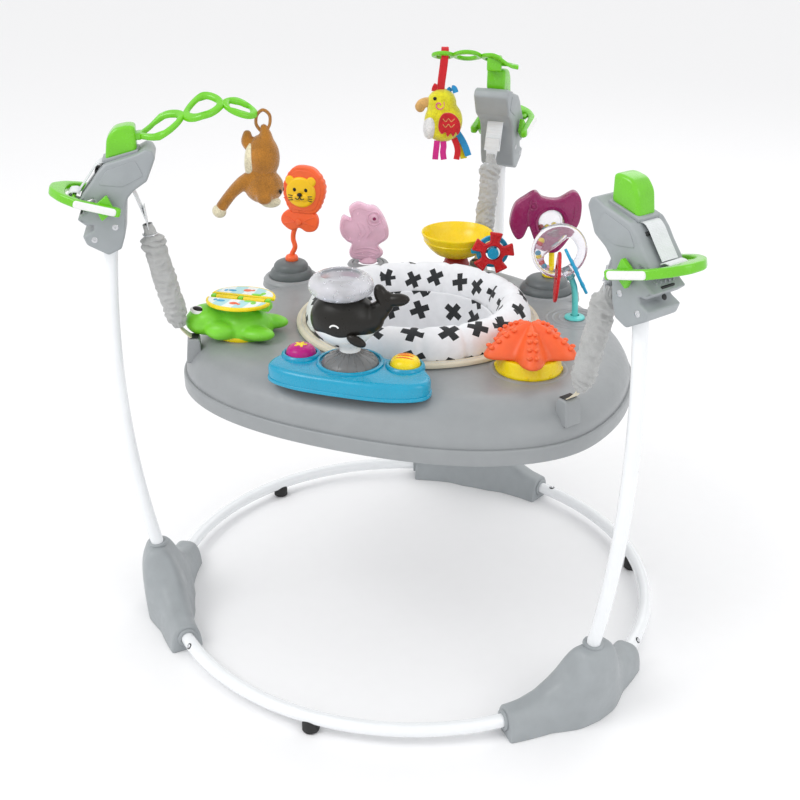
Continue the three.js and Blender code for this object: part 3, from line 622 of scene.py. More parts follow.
# Copies of a small mesh at (x, y, z, (turn, turn, turn)) places, by nodes
def repeated(small, places, material, size=1.0, spread=0.0, seed=1):
    guide = bpy.data.meshes.new("guide")
    guide.from_pydata([p[:3] for p in places], [], [])
    attribute = guide.attributes.new("turn", "FLOAT_VECTOR", "POINT")
    attribute.data.foreach_set("vector", [c for p in places for c in (p[3] if len(p) > 3 else (0, 0, 0))])
    holder = bpy.data.objects.new("guide", guide)
    sample = bpy.data.objects.new("sample", small)
    for one in (holder, sample):
        bpy.context.scene.collection.objects.link(one)
    values = {"Piece": sample, "Size": size, "Size spread": spread, "Seed": seed, "Finish": material}
    mesh = throughNodes(holder, repeatNodes, values)
    bpy.data.objects.remove(sample)
    return mesh


def facing(direction):  # turn that points a piece's Z along a direction
    turn = Vector(direction).to_track_quat("Z", "Y").to_euler()
    return (turn.x, turn.y, turn.z)


view = {"at": (0.6284, -1.7346, 1.2214), "heading": 111.994, "down": 27.404, "lens": 53.11,
        "shift": (0.0205, 0.0531)}


def makeCamera():
    camera = bpy.data.objects.new("camera", bpy.data.cameras.new("camera"))
    camera.data.lens, camera.data.sensor_width = view["lens"], 36
    camera.data.shift_x, camera.data.shift_y = view["shift"]
    heading, down = math.radians(view["heading"]), math.radians(view["down"])
    aim = Vector((math.cos(heading) * math.cos(down), math.sin(heading) * math.cos(down), -math.sin(down)))
    camera.location = view["at"]
    camera.rotation_mode = "QUATERNION"
    camera.rotation_quaternion = aim.to_track_quat("-Z", "Y")
    bpy.context.scene.collection.objects.link(camera)
    bpy.context.scene.camera = camera


studio = {
    "world": 0.96,
    "lamps": [  # place, size, watts
        ((-1.7, -2.0, 3.0), 1.6, 34),
        ((2.6, -1.2, 2.0), 1.6, 12),
        ((0.4, 2.6, 2.8), 2.2, 14),
    ],
}


def makeStudio():
    scene = bpy.context.scene
    scene.view_settings.view_transform = "Standard"
    world = bpy.data.worlds.new("studio")
    world.use_nodes = True
    world.node_tree.nodes["Background"].inputs["Color"].default_value = (1, 1, 1, 1)
    world.node_tree.nodes["Background"].inputs["Strength"].default_value = studio["world"]
    scene.world = world
    for number, (place, size, watts) in enumerate(studio["lamps"]):
        lamp = bpy.data.lights.new(f"softbox{number}", "AREA")
        lamp.size, lamp.energy = size, watts
        holder = bpy.data.objects.new(f"softbox{number}", lamp)
        holder.location = place
        holder.rotation_euler = (Vector((0, 0, 0.45)) - Vector(place)).to_track_quat("-Z", "Y").to_euler()
        scene.collection.objects.link(holder)
    floorMesh = newMesh([(-9, -9, 0), (9, -9, 0), (9, 9, 0), (-9, 9, 0)], [(0, 1, 2, 3)])
    floorMesh.materials.append(plasticFinish("pale floor", (0.93, 0.93, 0.94), 0.6, 300, 0.00001, 0.004))
    floor = bpy.data.objects.new("floor", floorMesh)
    floor.location = (0, 0, -0.0006)
    scene.collection.objects.link(floor)


makeCamera()
makeStudio()
print("camera and studio set")

base = {"radius": 420, "height": 25, "tube": 11, "endAngle": 8}
bow = {"radius": 1680, "x": -1205, "z": 470, "tube": 10.8, "bottom": 46, "top": 702}


def onRing(angle, radius=base["radius"], z=base["height"]):
    turn = math.radians(angle)
    return (radius * math.cos(turn), radius * math.sin(turn), z)


def postR(z):
    return bow["x"] + math.sqrt(bow["radius"] ** 2 - (z - bow["z"]) ** 2)


whole = spot()
for side, (start, stop) in {"front": (210, 330), "right": (-30, 90), "left": (90, 210)}.items():
    line = [onRing(a) for a in np.linspace(start + base["endAngle"], stop - base["endAngle"], 90)]
    tube = rod(line, base["tube"], 40, look["tube"])
    piece(f"floor_tube_{side}", tube, whole, look["tube"], "frame", [f"base_tube_{side}"])
    middle = (start + stop) / 2
    pad = lathe([(0, 0), (11.5, 0), (12.8, 0.5), (13.5, 2), (13.4, 12), (13.2, 18), (12.2, 21), (9, 23),
                 (0, 23)], 48)
    pad.transform(Matrix.Translation((base["radius"], 0, 0)))
    pad = evaluated(pad, ("BEVEL", {"width": 0.6, "segments": 2, "limit_method": "ANGLE"}))
    piece(f"rubber_pad_{side}", pad, spot(turn=middle), look["rubber"], "frame",
          [f"rubber_foot_{side}"])

# Spring buttons and rivets where the tubes meet the feet
button = {"radius": 3.6, "hole": 5.0}
# the dark disc round each knob is painted shade for the hole in the tube
holeShadeDisc = lathe([(0, -0.4), (button["hole"], -0.4), (button["hole"], 0.25), (0, 0.25)], 20)
knob = lathe([(0, -0.5), (button["radius"], -0.5), (button["radius"], 1.2), (2.2, 2.2), (0, 2.4)], 20)
onTube = {"left_foot": (233.5, 1), "right_foot": (353, 1), "back_foot": (112, 1), "rivets_back": (67, 1)}
for name, (angle, way) in onTube.items():
    radial = Vector((math.cos(math.radians(angle)), math.sin(math.radians(angle)), 0))
    out = (radial * -0.1 + Vector((0, 0, 1))).normalized() if "back" in name else (radial + Vector((0, 0,
            0.75))).normalized()
    centre = Vector(onRing(angle)) + out * (base["tube"] - 0.1)
    turn = facing(out)
    # rims of painted shade round the knobs
    rims = repeated(holeShadeDisc.copy(), [(*centre, turn)], look["dark"])
    knobs = repeated(knob.copy(), [(*(centre + out * 0.1), turn)], look["steel"])
    mixed = merged(rims, knobs)
    made = piece(f"tube_button_{name}", mixed, whole, [look["dark"], look["steel"]], "frame")
    split = len(rims.polygons)
    for index, face in enumerate(made.data.polygons):
        face.material_index = 0 if index < split else 1

footShape = {
    "height": [(0, 130), (25, 129), (33, 118), (42, 97), (56, 78), (80, 60), (110, 49), (150, 44)],
    "inner": [(0, 34), (30, 34), (60, 28), (150, 26)],
    "outer": [(0, 49), (35, 46), (75, 31), (150, 26)],
    "lean": [(0, 21), (30, 19), (60, 5), (150, 0)],
    "halfAngle": 19, "sections": 110, "around": 40,
}


def footRing(angle, shrink=1.0):
    along = abs(base["radius"] * math.radians(angle))
    height = smoothTable(footShape["height"], along, 5) * shrink
    lean = smoothTable(footShape["lean"], along, 8)
    inner, outer = smoothTable(footShape["inner"], along, 8), smoothTable(footShape["outer"], along, 8)
    ring = []
    for i in range(footShape["around"] + 1):
        turn = math.pi * i / footShape["around"]
        cosine = math.cos(turn)
        side = outer if cosine > 0 else inner
        z = height * math.sin(turn) ** 0.75
        narrow = 1 - 0.22 * z / 130
        r = base["radius"] + lean * z / 130 + side * shrink * narrow * math.copysign(abs(cosine) ** 0.6,
                cosine)
        ring.append(np.array(onRing(angle, r, z)))
    for r in np.linspace(-inner * shrink, outer * shrink, 8)[1:-1]:  # the flat sole
        ring.append(np.array(onRing(angle, base["radius"] + r, 0.0)))
    return ring


def footShell():
    half = footShape["halfAngle"]
    angles = list(np.linspace(-half + 0.35, half - 0.35, footShape["sections"]))
    ends = [(0.0, 0.86), (0.1, 0.93), (0.22, 0.975)]
    rings = [footRing(-half + a, s) for a, s in ends]
    rings += [footRing(a) for a in angles]
    rings += [footRing(half - a, s) for a, s in reversed(ends)]
    return welded(skinRings(rings))


for side, turn in postTurns.items():
    stand = spot(turn=turn)
    shell = footShell()
    collars = []
    for way in (-1, 1):
        angle = way * (footShape["halfAngle"] + 0.25)
        lip = ringLathe([(11.6, -3), (15.5, -3), (16.4, -1.5), (16.4, 1.2), (15.2, 2.4), (11.6, 2.4)], 40)
        lip.transform(Matrix.Translation(onRing(angle)) @ Matrix.Rotation(math.radians(angle), 4, "Z")
                      @ Matrix.Rotation(math.radians(-90 * way), 4, "X"))
        collars.append(lip)
    top = ringLathe([(11.2, -2), (15.6, -2), (16.4, 0), (15.6, 2.6), (13.6, 3.4), (11.2, 3.4)], 40)
    top.transform(Matrix.Translation((postR(130), 0, 129.5)) @ Matrix.Rotation(math.radians(6), 4, "Y"))
    foot = merged(shell, *collars, top)
    piece(f"foot_shell_{side}", foot, stand, look["grey"], "frame", [f"foot_housing_{side}"],
          crease=50)
    line = [(postR(z), 0, z) for z in np.linspace(bow["bottom"], bow["top"], 90)]
    tube = rod(line, bow["tube"], 40, look["tube"])
    piece(f"bowed_post_{side}", tube, stand, look["tube"], "frame", [f"post_tube_{side}"])
print("ring, feet and posts made")

headOutline = [
    (391, 786), (385, 800), (389, 810), (398, 813), (412, 806), (458, 793), (470, 781), (479, 768),
    (493, 751),
    (503, 736), (478, 744), (476, 735), (506, 713), (494, 703), (482, 704), (484, 696), (501, 688),
    (496, 674),
    (466, 657), (446, 666), (439, 686), (434, 730), (430, 742), (420, 753), (400, 766),
]
headShape = {
    "half": 32, "cheek": [(404, 775), (436, 760), (470, 764), (458, 784), (414, 798)],
    "tooth": [(398, 770), (424, 757), (432, 746), (436, 760), (430, 786), (404, 794)],
    "screws": [(452, 700), (484, 682)], "strap": 30, "bend": ((466, 790), (499, 752)),
}
plugOutline = [(411, 807), (458, 793.8), (453, 827), (441, 841), (422, 844.5), (411, 843)]
strapRoute = [(407, 700), (414, 722), (423, 748), (434, 770), (449, 786), (463, 792), (473, 786.5),
              (484, 772),
              (494, 759), (500, 751)]
handleShape = {"pivot": (464, 732), "armY": 48, "reach": 76, "tilt": 15, "bar": 13}


def rounded(points, radius, steps=4):  # corners of an outline cut round
    out = []
    count = len(points)
    for i in range(count):
        before, here, after = (np.array(points[(i + k) % count], float) for k in (-1, 0, 1))
        one, two = before - here, after - here
        reach = min(radius, 0.45 * np.linalg.norm(one), 0.45 * np.linalg.norm(two))
        start, stop = here + one / np.linalg.norm(one) * reach, here + two / np.linalg.norm(two) * reach
        for s in range(steps + 1):
            t = s / steps
            out.append(tuple((1 - t) ** 2 * start + 2 * t * (1 - t) * here + t * t * stop))
    return out


def handleLoop():
    arm, reach = handleShape["armY"], handleShape["reach"]
    outer = [(-24, -arm - 6), (40, -arm - 6), (66, -38), (reach + 7, -14), (reach + 7, 14), (66, 38),
             (40, arm + 6),
             (-24, arm + 6)]
    inner = [(-24, arm - 6), (36, arm - 6), (56, 32), (60, 12), (60, -12), (56, -32), (36, -arm + 6),
             (-24, -arm + 6)]
    return plate(rounded(outer + inner, 9), handleShape["bar"], 3.2, upright=False, steps=4)


for side, turn in postTurns.items():
    stand = spot(turn=turn)
    body = plate(rounded(headOutline, 3.0, 3), 2 * headShape["half"], 4.0, steps=4)
    tooth = plate(rounded(headShape["tooth"], 3), 20, 2)
    cheeks = []
    for way in (-1, 1):
        cheek = plate(rounded(headShape["cheek"], 5), 1.6, 0.7)
        cheek.transform(Matrix.Translation((0, way * (headShape["half"] + 0.2), 0)))
        cheeks.append(cheek)
    ribs = [block(470, 497, way * 8 - 1.2, way * 8 + 1.2, 712, 724, 0.5) for way in (-2, -1, 0, 1, 2)]
    head = merged(body, tooth, *cheeks, *ribs)
    piece(f"strap_head_{side}", head, stand, look["grey"], "frame", [f"head_housing_{side}"],
          crease=32)
    # dark pieces of painted shade where the head's slots and recess open
    slotShades = merged(
        block(466, 474.5, -16.4, 16.4, 777.5, 781.5, 0.6),
        block(499.5, 502.4, -12, 12, 715.5, 718.5, 0.4),
        ball(4.2, 4.2, 1.6, 497.6, 0, 701.6, 62),
    )
    piece(f"head_hollows_{side}", slotShades, stand, look["dark"], "frame")
    screw = lathe([(0, -1), (4.6, -1), (4.6, 0.4), (3.6, 1.0), (1.4, 0.8), (0.9, 0.1), (0, 0.1)], 24)
    spots = [(r, way * headShape["half"], z, facing((0, way, 0))) for r,
             z in headShape["screws"] for way in (-1, 1)]
    screws = repeated(screw, spots, look["steel"])
    piece(f"head_screws_{side}", screws, stand, look["steel"], "frame")
    plug = plate(rounded(plugOutline, 7, 5), 34, 5.5, steps=5)
    socket = plate(rounded([(408, 805), (461, 791.5), (462.5, 797), (409.5, 810.5)], 1.5), 39, 1.6)
    piece(f"green_plug_{side}", plug, stand, look["green"], "frame", [f"toy_plug_{side}"])
    piece(f"plug_collar_{side}", socket, stand, look["grey"], "frame")
    route = smoothLine([(r, 0.0, z) for r, z in strapRoute], 60)
    strap = piece(f"head_strap_{side}", strip(route, headShape["strap"], 1.4), stand, look["webbing"], None,
                  [f"adjuster_strap_{side}"])
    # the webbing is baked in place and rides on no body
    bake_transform(strap)
    px, pz = handleShape["pivot"]
    grip = spot(turn=turn) @ local(px, 0, pz, -handleShape["tilt"])
    bar = merged(block(43, 49, -36, 36, -3.2, 3.2, 2.4),
                 *[block(40, 55, s * 31 - 4, s * 31 + 4, -3.2, 3.2, 1.5) for s in (-1, 1)])
    diamonds = []
    for way in (-1, 1):
        diamond = plate(rounded([(-15, 0), (0, 20), (15, 0), (0, -20)], 3), 8, 1.2)
        diamond.transform(Matrix.Translation((0, way * (handleShape["armY"] - 8.5), 0)))
        diamonds.append(diamond)
    piece(f"green_handle_{side}", merged(handleLoop(), bar, *diamonds), grip, look["green"], f"handle_{side}",
          [f"height_handle_{side}"])
    inlays = []
    for way in (-1, 1):
        inlay = plate(rounded([(-18, -5.6), (44, -5.6), (44, 5.6), (-18, 5.6)], 5.4, 6), 5.2, 2.0,
                      upright=False)
        inlay.transform(Matrix.Translation((0, way * (handleShape["armY"] + 4.6),
                                            0)) @ Matrix.Rotation(math.pi / 2, 4, "X"))
        inlays.append(inlay)
    piece(f"handle_inlays_{side}", merged(*inlays), grip, look["white"], f"handle_{side}")
    loop = smoothLine([(38, 0, 6), (44, 0, 7.5), (52, 0, 5), (54.5, 0, 0), (52, 0, -5), (44, 0, -7.5),
                       (34, 0, -8)], 40)
    piece(f"handle_web_{side}", strip(loop, 34, 1.6), grip, look["webbing"], f"handle_{side}")
print("heads, plugs and handles made")

sleeve = {"top": (407, 694), "bottom": (371, 526), "rings": 130, "around": 72, "wall": 0.8}
coilShape = {"turns": 15, "radius": 10.8, "wire": 1.5, "from": 0.08, "share": 0.84, "stepsPerTurn": 22}
tableOfSleeve = [(0, 7.5), (0.06, 9), (0.1, 11), (0.125, 17), (0.16, 20), (0.22, 18.6), (0.27, 17.8),
                 (0.78, 18.6), (0.88, 17.6),
                 (0.94, 14), (1, 8)]


def alongSleeve(share, sideways=0.0, out=0.0):
    (topR, topZ), (lowR, lowZ) = sleeve["top"], sleeve["bottom"]
    slope = math.atan2(topR - lowR, topZ - lowZ)
    return np.array((topR + (lowR - topR) * share + out * math.cos(slope), sideways,
                     topZ + (lowZ - topZ) * share - out * math.sin(slope)))


def sleeveRing(share, seed, inset=0.0):
    ring = []
    radius = float(np.interp(share, *zip(*tableOfSleeve)))
    gather = max(0.0, 1 - min(share, 1 - share) / 0.12)
    for j in range(sleeve["around"]):
        turn = 2 * math.pi * j / sleeve["around"]
        c, s = math.cos(turn), math.sin(turn)
        wide = noise.noise(Vector((c * 0.9 + seed, s * 0.9, share * 11 + 0.9 * c)))
        fine = noise.noise(Vector((c * 2.3, s * 2.3 + seed, share * 27)))
        crease = -abs(noise.noise(Vector((c * 1.3, s * 1.3 + 9 * seed, share * 19 - 1.2 * s))))
        ruffle = max(0.25, 1.3 - abs(share - 0.18) / 0.1, 1.2 - abs(share - 0.9) / 0.16)
        fold = abs(math.sin(math.pi * (share * 15 + 0.5 * math.sin(turn + seed) + 0.6 * wide)))
        r = radius * (1 + 0.09 * wide + 0.05 * fine + 0.26 * crease + ruffle * (0.19 * fold - 0.13)
                      + 0.07 * gather * math.sin(12 * turn + seed)) - inset
        shift = 1.6 * noise.noise(Vector((seed, 3, share * 6)))
        ring.append(alongSleeve(share, r * s + shift, r * c))
    return ring


def sleeveMesh(seed):
    outer = [sleeveRing(i / sleeve["rings"], seed) for i in range(sleeve["rings"] + 1)]
    inner = [sleeveRing(i / sleeve["rings"], seed, sleeve["wall"]) for i in range(sleeve["rings"] + 1)]
    return welded(skinRings(outer + inner[::-1], closedWay=True))


sleevePoints = {side: [spot(turn=turn) @ Vector(alongSleeve(s)) for s in (0, 1)] for side,
                turn in postTurns.items()}
for number, (side, turn) in enumerate(postTurns.items()):
    stand = spot(turn=turn)
    start, stop = sleevePoints[side]
    cover = piece(f"gathered_sleeve_{side}", sleeveMesh(1.7 + 2.3 * number), stand, look["sleeve"], None,
                  [f"spring_sleeve_{side}"], crease=0)
    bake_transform(cover)
    coil = []
    for t in np.linspace(0, 1, coilShape["turns"] * coilShape["stepsPerTurn"]):
        turned = 2 * math.pi * coilShape["turns"] * t
        coil.append(alongSleeve(coilShape["from"] + coilShape["share"] * t,
                                coilShape["radius"] * math.sin(turned),
                                coilShape["radius"] * math.cos(turned)))
    steel = piece(f"coil_spring_{side}", rod(coil, coilShape["wire"], 8, look["steel"]), stand, look["steel"],
                  None,
                  [f"suspension_spring_{side}"])
    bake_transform(steel)
    upper = smoothLine([(409.5, 0, 722), (408.5, 0, 712), (407.5, 0, 702), (406, 0, 690), (405, 0, 684)], 30)
    piece(f"upper_web_{side}", strip(upper, [26] * 12 + [24 - 0.4 * i for i in range(18)], 1.3), stand,
          look["webbing"], "frame")
    tail = smoothLine([(373, 0, 536), (371, 0, 526), (366, 0, 519), (358, 0, 511), (351, 0, 506),
                       (349, 0, 500)], 40)
    piece(f"tail_web_{side}", strip(tail, [13 + 0.28 * i for i in range(40)], 1.5), stand, look["creamWeb"],
          "tray")
print("sleeves, springs and webbing made")

trayEdge = [
    (0, -303), (110, -296), (205, -272), (280, -230), (328, -175), (354, -100), (362, -15), (350, 80),
    (312, 170),
    (245, 255), (160, 325), (75, 368), (0, 384),
]
tray = {
    "top": 504, "skirt": 424, "wall": 4, "seatY": 28, "hole": 190, "around": 288,
    "shoulder": [(5.2, 447.6), (5.6, 453), (7.2, 461), (11.5, 469.5), (18.5, 479.5), (29, 488.5), (43, 496),
                 (58, 501.4), (72, 504)],
    "lugs": {"r": (341, 361), "half": 15, "z": (468, 508)},
    "ribs": 24, "screws": 12, "screwRadius": 225,
}
trayLoop = smoothLine(trayEdge + [(-x, y) for x, y in trayEdge[-2:0:-1]], tray["around"], closed=True)


def trayRing(inset, z):
    ring = []
    for x, y in trayLoop:
        out = np.array((x, y - tray["seatY"]))
        reach = np.linalg.norm(out)
        x2, y2 = out * (reach - inset) / reach
        ring.append(np.array((x2, y2 + tray["seatY"], z)))
    return ring


def wellRing(radius, z, share=1.0):
    ring = []
    for x, y in trayLoop:
        out = np.array((x, y - tray["seatY"]))
        reach = np.linalg.norm(out)
        r = radius * share + (reach - 72) * (1 - share)
        ring.append(np.array((*(out * r / reach + (0, tray["seatY"])), z)))
    return ring


def trayShell():
    top, skirt, wall = tray["top"], tray["skirt"], tray["wall"]
    outside = [(wall, skirt + 0.4), (1.2, skirt), (0.3, skirt + 0.6), (0, skirt + 2), (0, skirt + 20),
               (0.5, skirt + 22.3),
               (1.6, skirt + 23.6), (3.2, skirt + 24), (4.4, skirt + 23.6)]
    rings = [trayRing(inset, z) for inset, z in outside]
    shoulder = smoothLine(tray["shoulder"], 34)
    rings += [trayRing(inset, z) for inset, z in shoulder]
    deckSteps = [(0.2, top), (0.45, top), (0.7, top), (0.86, top), (0.9, top - 0.9), (0.94, top),
                 (0.975, top)]
    rings += [wellRing(tray["hole"] + 1.2, z, share) for share, z in deckSteps]
    rings += [wellRing(r, z) for r, z in ((191.4, top), (190.4, top - 0.5), (190, top - 1.6),
                                          (190, top - 22))]
    rings += [wellRing(tray["hole"] + wall, z) for z in (top - 22, top - wall)]
    rings += [wellRing(tray["hole"] + wall, top - wall, share) for share in (0.7, 0.2)]
    rings += [trayRing(inset + wall, z - wall * 0.8) for inset, z in shoulder[::-3]]
    return welded(skinRings(rings, closedWay=True))


def lug():
    (r0, r1), half, (z0, z1) = tray["lugs"]["r"], tray["lugs"]["half"], tray["lugs"]["z"]
    side = rounded([(r0, z0), (r1 + 4, z0), (r1, z1 - 2), (r1 - 4, z1), (r0 + 2, z1), (r0, z1 - 5)], 2.5)
    return plate(side, 2 * half, 2.2)


stepRings = {  # raised rings and shallow steps that toys stand in: place, rings of (radius, height, width)
    "rattle": ((236, 137), [(26, 1.6, 3.0), (37, 1.2, 3.0), (47, 0.8, 3.5)]),
    "lion": ((-291, 151), [(43.5, 2.2, 4.5)]),
    "toucan": ((157, 251), [(50.5, 2.2, 4.5)]),
    "starfish": ((221, -89), [(55, 1.2, 5.0)]),
    "fish": ((-192, 275), [(24, 1.4, 4.0), (33, 0.9, 3.5)]),
    "bowl": ((-27, 300), [(30, 1.4, 4.0)]),
}


def stepRing(x, y, radius, height, width):
    profile = [(radius - width, 500), (radius - width, 503.9), (radius - width * 0.5, 504 + height * 0.85),
               (radius, 504 + height),
               (radius + width * 0.5, 504 + height * 0.75), (radius + width, 503.7),
               (radius + width + 2.5, 500)]
    ring = ringLathe(profile, 96)
    ring.transform(Matrix.Translation((x, y, 0)))
    return ring


def plinth(x, y, radius):
    disc = lathe([(0, 490), (radius + 6, 490), (radius + 4, 499), (radius + 1.2, 503.2), (radius - 1, 504.3),
                  (0, 504.3)], 96)
    disc.transform(Matrix.Translation((x, y, 0)))
    return disc


trayParts = [trayShell()]
for turn in postTurns.values():
    one = lug()
    one.transform(Matrix.Rotation(math.radians(turn), 4, "Z"))
    trayParts.append(one)
for (x, y), steps in stepRings.values():
    trayParts += [stepRing(x, y, *step) for step in steps]
trayParts += [plinth(-291, 151, 46), plinth(157, 251, 53), plinth(236, 137, 50)]
piece("tray_shell", merged(*trayParts), whole, look["tray"], "tray", ["tray_top"], crease=42)
# dark pieces of painted shade in the lugs' slits, where the webbing goes in
slits = []
for turn in postTurns.values():
    slit = block(343.5, 357, -11, 11, 508.2, 509.35, 0.4)
    slit.transform(Matrix.Rotation(math.radians(turn), 4, "Z"))
    slits.append(slit)
piece("lug_slits", merged(*slits), whole, look["dark"], "tray")
under = skinRings([trayRing(7, 430), trayRing(7, 434)] + [wellRing(198, 434), wellRing(198, 430)],
                  closedWay=True)
floorRibs = []
for number in range(tray["ribs"]):
    angle = math.radians(360 / tray["ribs"] * number)
    reach = min(np.linalg.norm(p - np.array((0, tray["seatY"]))) for p in trayLoop
                if abs(math.atan2(p[1] - tray["seatY"], p[0]) - math.atan2(math.sin(angle),
                        math.cos(angle))) < 0.05)
    rib = block(206, reach - 22, -1.3, 1.3, 427.2, 430.5, 0.4)
    rib.transform(Matrix.Translation((0, tray["seatY"], 0)) @ Matrix.Rotation(angle, 4, "Z"))
    floorRibs.append(rib)
piece("tray_floor", merged(welded(under), *floorRibs), whole, look["underside"], "tray",
      ["tray_underside"])
screwHead = lathe([(0, -1), (4.4, -1), (4.4, 0.8), (3.4, 1.5), (1.4, 1.3), (0.9, 0.5), (0, 0.5)], 20)
screwPlaces = []
for number in range(tray["screws"]):
    angle = math.radians(7.5 + 360 / tray["screws"] * number)
    screwPlaces.append((tray["screwRadius"] * math.cos(angle),
                        tray["screwRadius"] * math.sin(angle) + tray["seatY"],
                        429.6, facing((0, 0, -1))))
piece("tray_screws", repeated(screwHead, screwPlaces, look["steel"]), whole, look["steel"], "tray")
print("tray made")

seat = {
    "at": spot(0, 28, 0),
    "collar": [(176, 504.5), (184, 509), (186, 519), (181, 535), (171, 549), (156, 556.5), (142, 551),
               (131, 535), (124.5, 510),
               (130, 502), (150, 500.5), (165, 502)],
    "seams": 16, "cap": 9, "pressure": 3.6, "seamDepth": 5.5,
    "bowl": [(124, 512), (119, 480), (113, 430), (104, 385), (90, 345), (66, 318), (36, 308), (0, 305)],
    "legs": {"angles": (232, 308), "z": 372, "wide": 55, "high": 44},
    # metres of cloth map for each radian round, and where the bowl's map starts
    "collarMap": 0.152, "bowlMap": 0.112, "bowlMapStart": 0.42,
    "stitches": 259, "stitchRadius": 191,
}


def collarMesh(count=190, around=44):
    profile = smoothLine(seat["collar"], around, closed=True)
    middle = profile.mean(axis=0)
    verts, faces, mapped = [], [], []
    gone = np.concatenate([[0], np.cumsum(np.linalg.norm(np.diff(np.vstack([profile, profile[:1]]), axis=0),
                                                         axis=1))])
    for i in range(count):
        turn = 2 * math.pi * i / count
        phase = (turn * seat["seams"] / (2 * math.pi)) % 1.0
        dip = math.exp(-((min(phase, 1 - phase) / 0.05) ** 2))
        for r, z in profile:
            away = np.array((r, z)) - middle
            reach = np.linalg.norm(away)
            r2, z2 = middle + away * (reach - seat["seamDepth"] * dip - 1.5) / reach
            z2 += 1.2 * math.sin(2 * turn + 0.6) + 0.8 * math.sin(5 * turn)
            verts.append((r2 * math.cos(turn), r2 * math.sin(turn), max(z2, 499)))
    for i in range(count):
        for j in range(around):
            a, b = i * around + j, i * around + (j + 1) % around
            c, d = ((i + 1) % count) * around + (j + 1) % around, ((i + 1) % count) * around + j
            faces.append((a, d, c, b))
            mapped += [(i, j), (i + 1, j), (i + 1, j + 1), (i, j + 1)]
    mesh = newMesh(verts, faces)
    chart = mesh.uv_layers.new(name="cloth")
    for corner, (i, j) in zip(chart.data, mapped):
        corner.uv = (2 * math.pi * i / count * seat["collarMap"], gone[j] * mm)
    pins = [i * around + j for i in range(count) for j in range(around)
            if profile[j][1] < 504 or abs(((i / count * seat["seams"] + 0.5) % 1.0) - 0.5) < 0.04]
    return mesh, pins


def swollen(mesh, pins, pressure, cap):  # a short cloth simulation: the pad swells between its pinned seams
    holder = bpy.data.objects.new("pad", mesh)
    bpy.context.scene.collection.objects.link(holder)
    group = holder.vertex_groups.new(name="seams")
    group.add(pins, 1.0, "REPLACE")
    rest = np.array([v.co for v in mesh.vertices])
    cloth = holder.modifiers.new("cloth", "CLOTH")
    settings = cloth.settings
    settings.quality = 5
    settings.mass = 0.25
    settings.use_pressure = True
    settings.uniform_pressure_force = pressure
    settings.effector_weights.gravity = 0
    settings.vertex_group_mass = "seams"
    settings.tension_stiffness = settings.compression_stiffness = 12
    settings.bending_stiffness = 0.4
    scene = bpy.context.scene
    for number in range(1, 21):
        scene.frame_set(number)
    graph = bpy.context.evaluated_depsgraph_get()
    after = holder.evaluated_get(graph).to_mesh()
    moves = np.array([v.co for v in after.vertices]) - rest
    holder.evaluated_get(graph).to_mesh_clear()
    far = np.linalg.norm(moves, axis=1)
    moves *= np.minimum(1, cap / np.maximum(far, 1e-9))[:, None]
    holder.modifiers.remove(cloth)
    scene.frame_set(1)
    mesh.vertices.foreach_set("co", (rest + moves).astype(np.float32).ravel())
    bpy.data.objects.remove(holder)
    return mesh


collar, collarPins = collarMesh()
collar.transform(Matrix.Scale(mm, 4))
collar = swollen(collar, collarPins, seat["pressure"], seat["cap"] * mm)
collar.transform(Matrix.Scale(1 / mm, 4))
collar = evaluated(collar, ("SUBSURF", {"levels": 1, "render_levels": 1}))
pad = piece("seat_collar", collar, seat["at"], look["seat"], "seat", ["seat_fabric"], crease=0,
            keepNormals=True)


def bowlShell(count=150, around=64):
    profile = smoothLine(seat["bowl"], around)
    gone = np.concatenate([[0], np.cumsum(np.linalg.norm(np.diff(profile, axis=0), axis=1))])
    legs = seat["legs"]
    verts, keep, faces, mapped = [], [], [], []
    for i in range(count):
        turn = 2 * math.pi * i / count
        for r, z in profile:
            crumple = 1 + 0.018 * noise.noise(Vector((math.cos(turn) * 2.4, math.sin(turn) * 2.4, z * 0.02)))
            point = [r * crumple, turn, z]
            near = 9.0
            for angle in legs["angles"]:
                off = (turn - math.radians(angle) + math.pi) % (2 * math.pi) - math.pi
                if abs(off) > 1.4:
                    continue
                t, h = point[0] * math.sin(off), z - legs["z"]
                rho = math.hypot(t / legs["wide"], h / legs["high"])
                near = min(near, rho)
                if 0.88 < rho < 1.1:
                    t, h = t / rho, h / rho
                    point = [point[0], math.radians(angle) + math.asin(max(-1, min(1, t / point[0]))),
                             legs["z"] + h]
            verts.append((point[0] * math.cos(point[1]), point[0] * math.sin(point[1]), point[2]))
            keep.append(near)
    for i in range(count):
        for j in range(around - 1):
            a, b = i * around + j, i * around + j + 1
            c, d = ((i + 1) % count) * around + j + 1, ((i + 1) % count) * around + j
            if sum(keep[k] for k in (a, b, c, d)) / 4 < 0.97:
                continue
            faces.append((a, b, c, d))
            mapped += [(i, j), (i, j + 1), (i + 1, j + 1), (i + 1, j)]
    mesh = newMesh(verts, faces)
    chart = mesh.uv_layers.new(name="cloth")
    for corner, (i, j) in zip(chart.data, mapped):
        corner.uv = (2 * math.pi * i / count * seat["bowlMap"], seat["bowlMapStart"] + gone[j] * mm)
    shape = bmesh.new()
    shape.from_mesh(mesh)
    bmesh.ops.remove_doubles(shape, verts=shape.verts, dist=0.01)
    bmesh.ops.delete(shape, geom=[v for v in shape.verts if not v.link_faces], context="VERTS")
    bmesh.ops.recalc_face_normals(shape, faces=shape.faces)
    shape.to_mesh(mesh)
    shape.free()
    return evaluated(mesh, ("SOLIDIFY", {"thickness": 3.2, "offset": 0.0}),
                     ("SUBSURF", {"levels": 1, "render_levels": 1}))


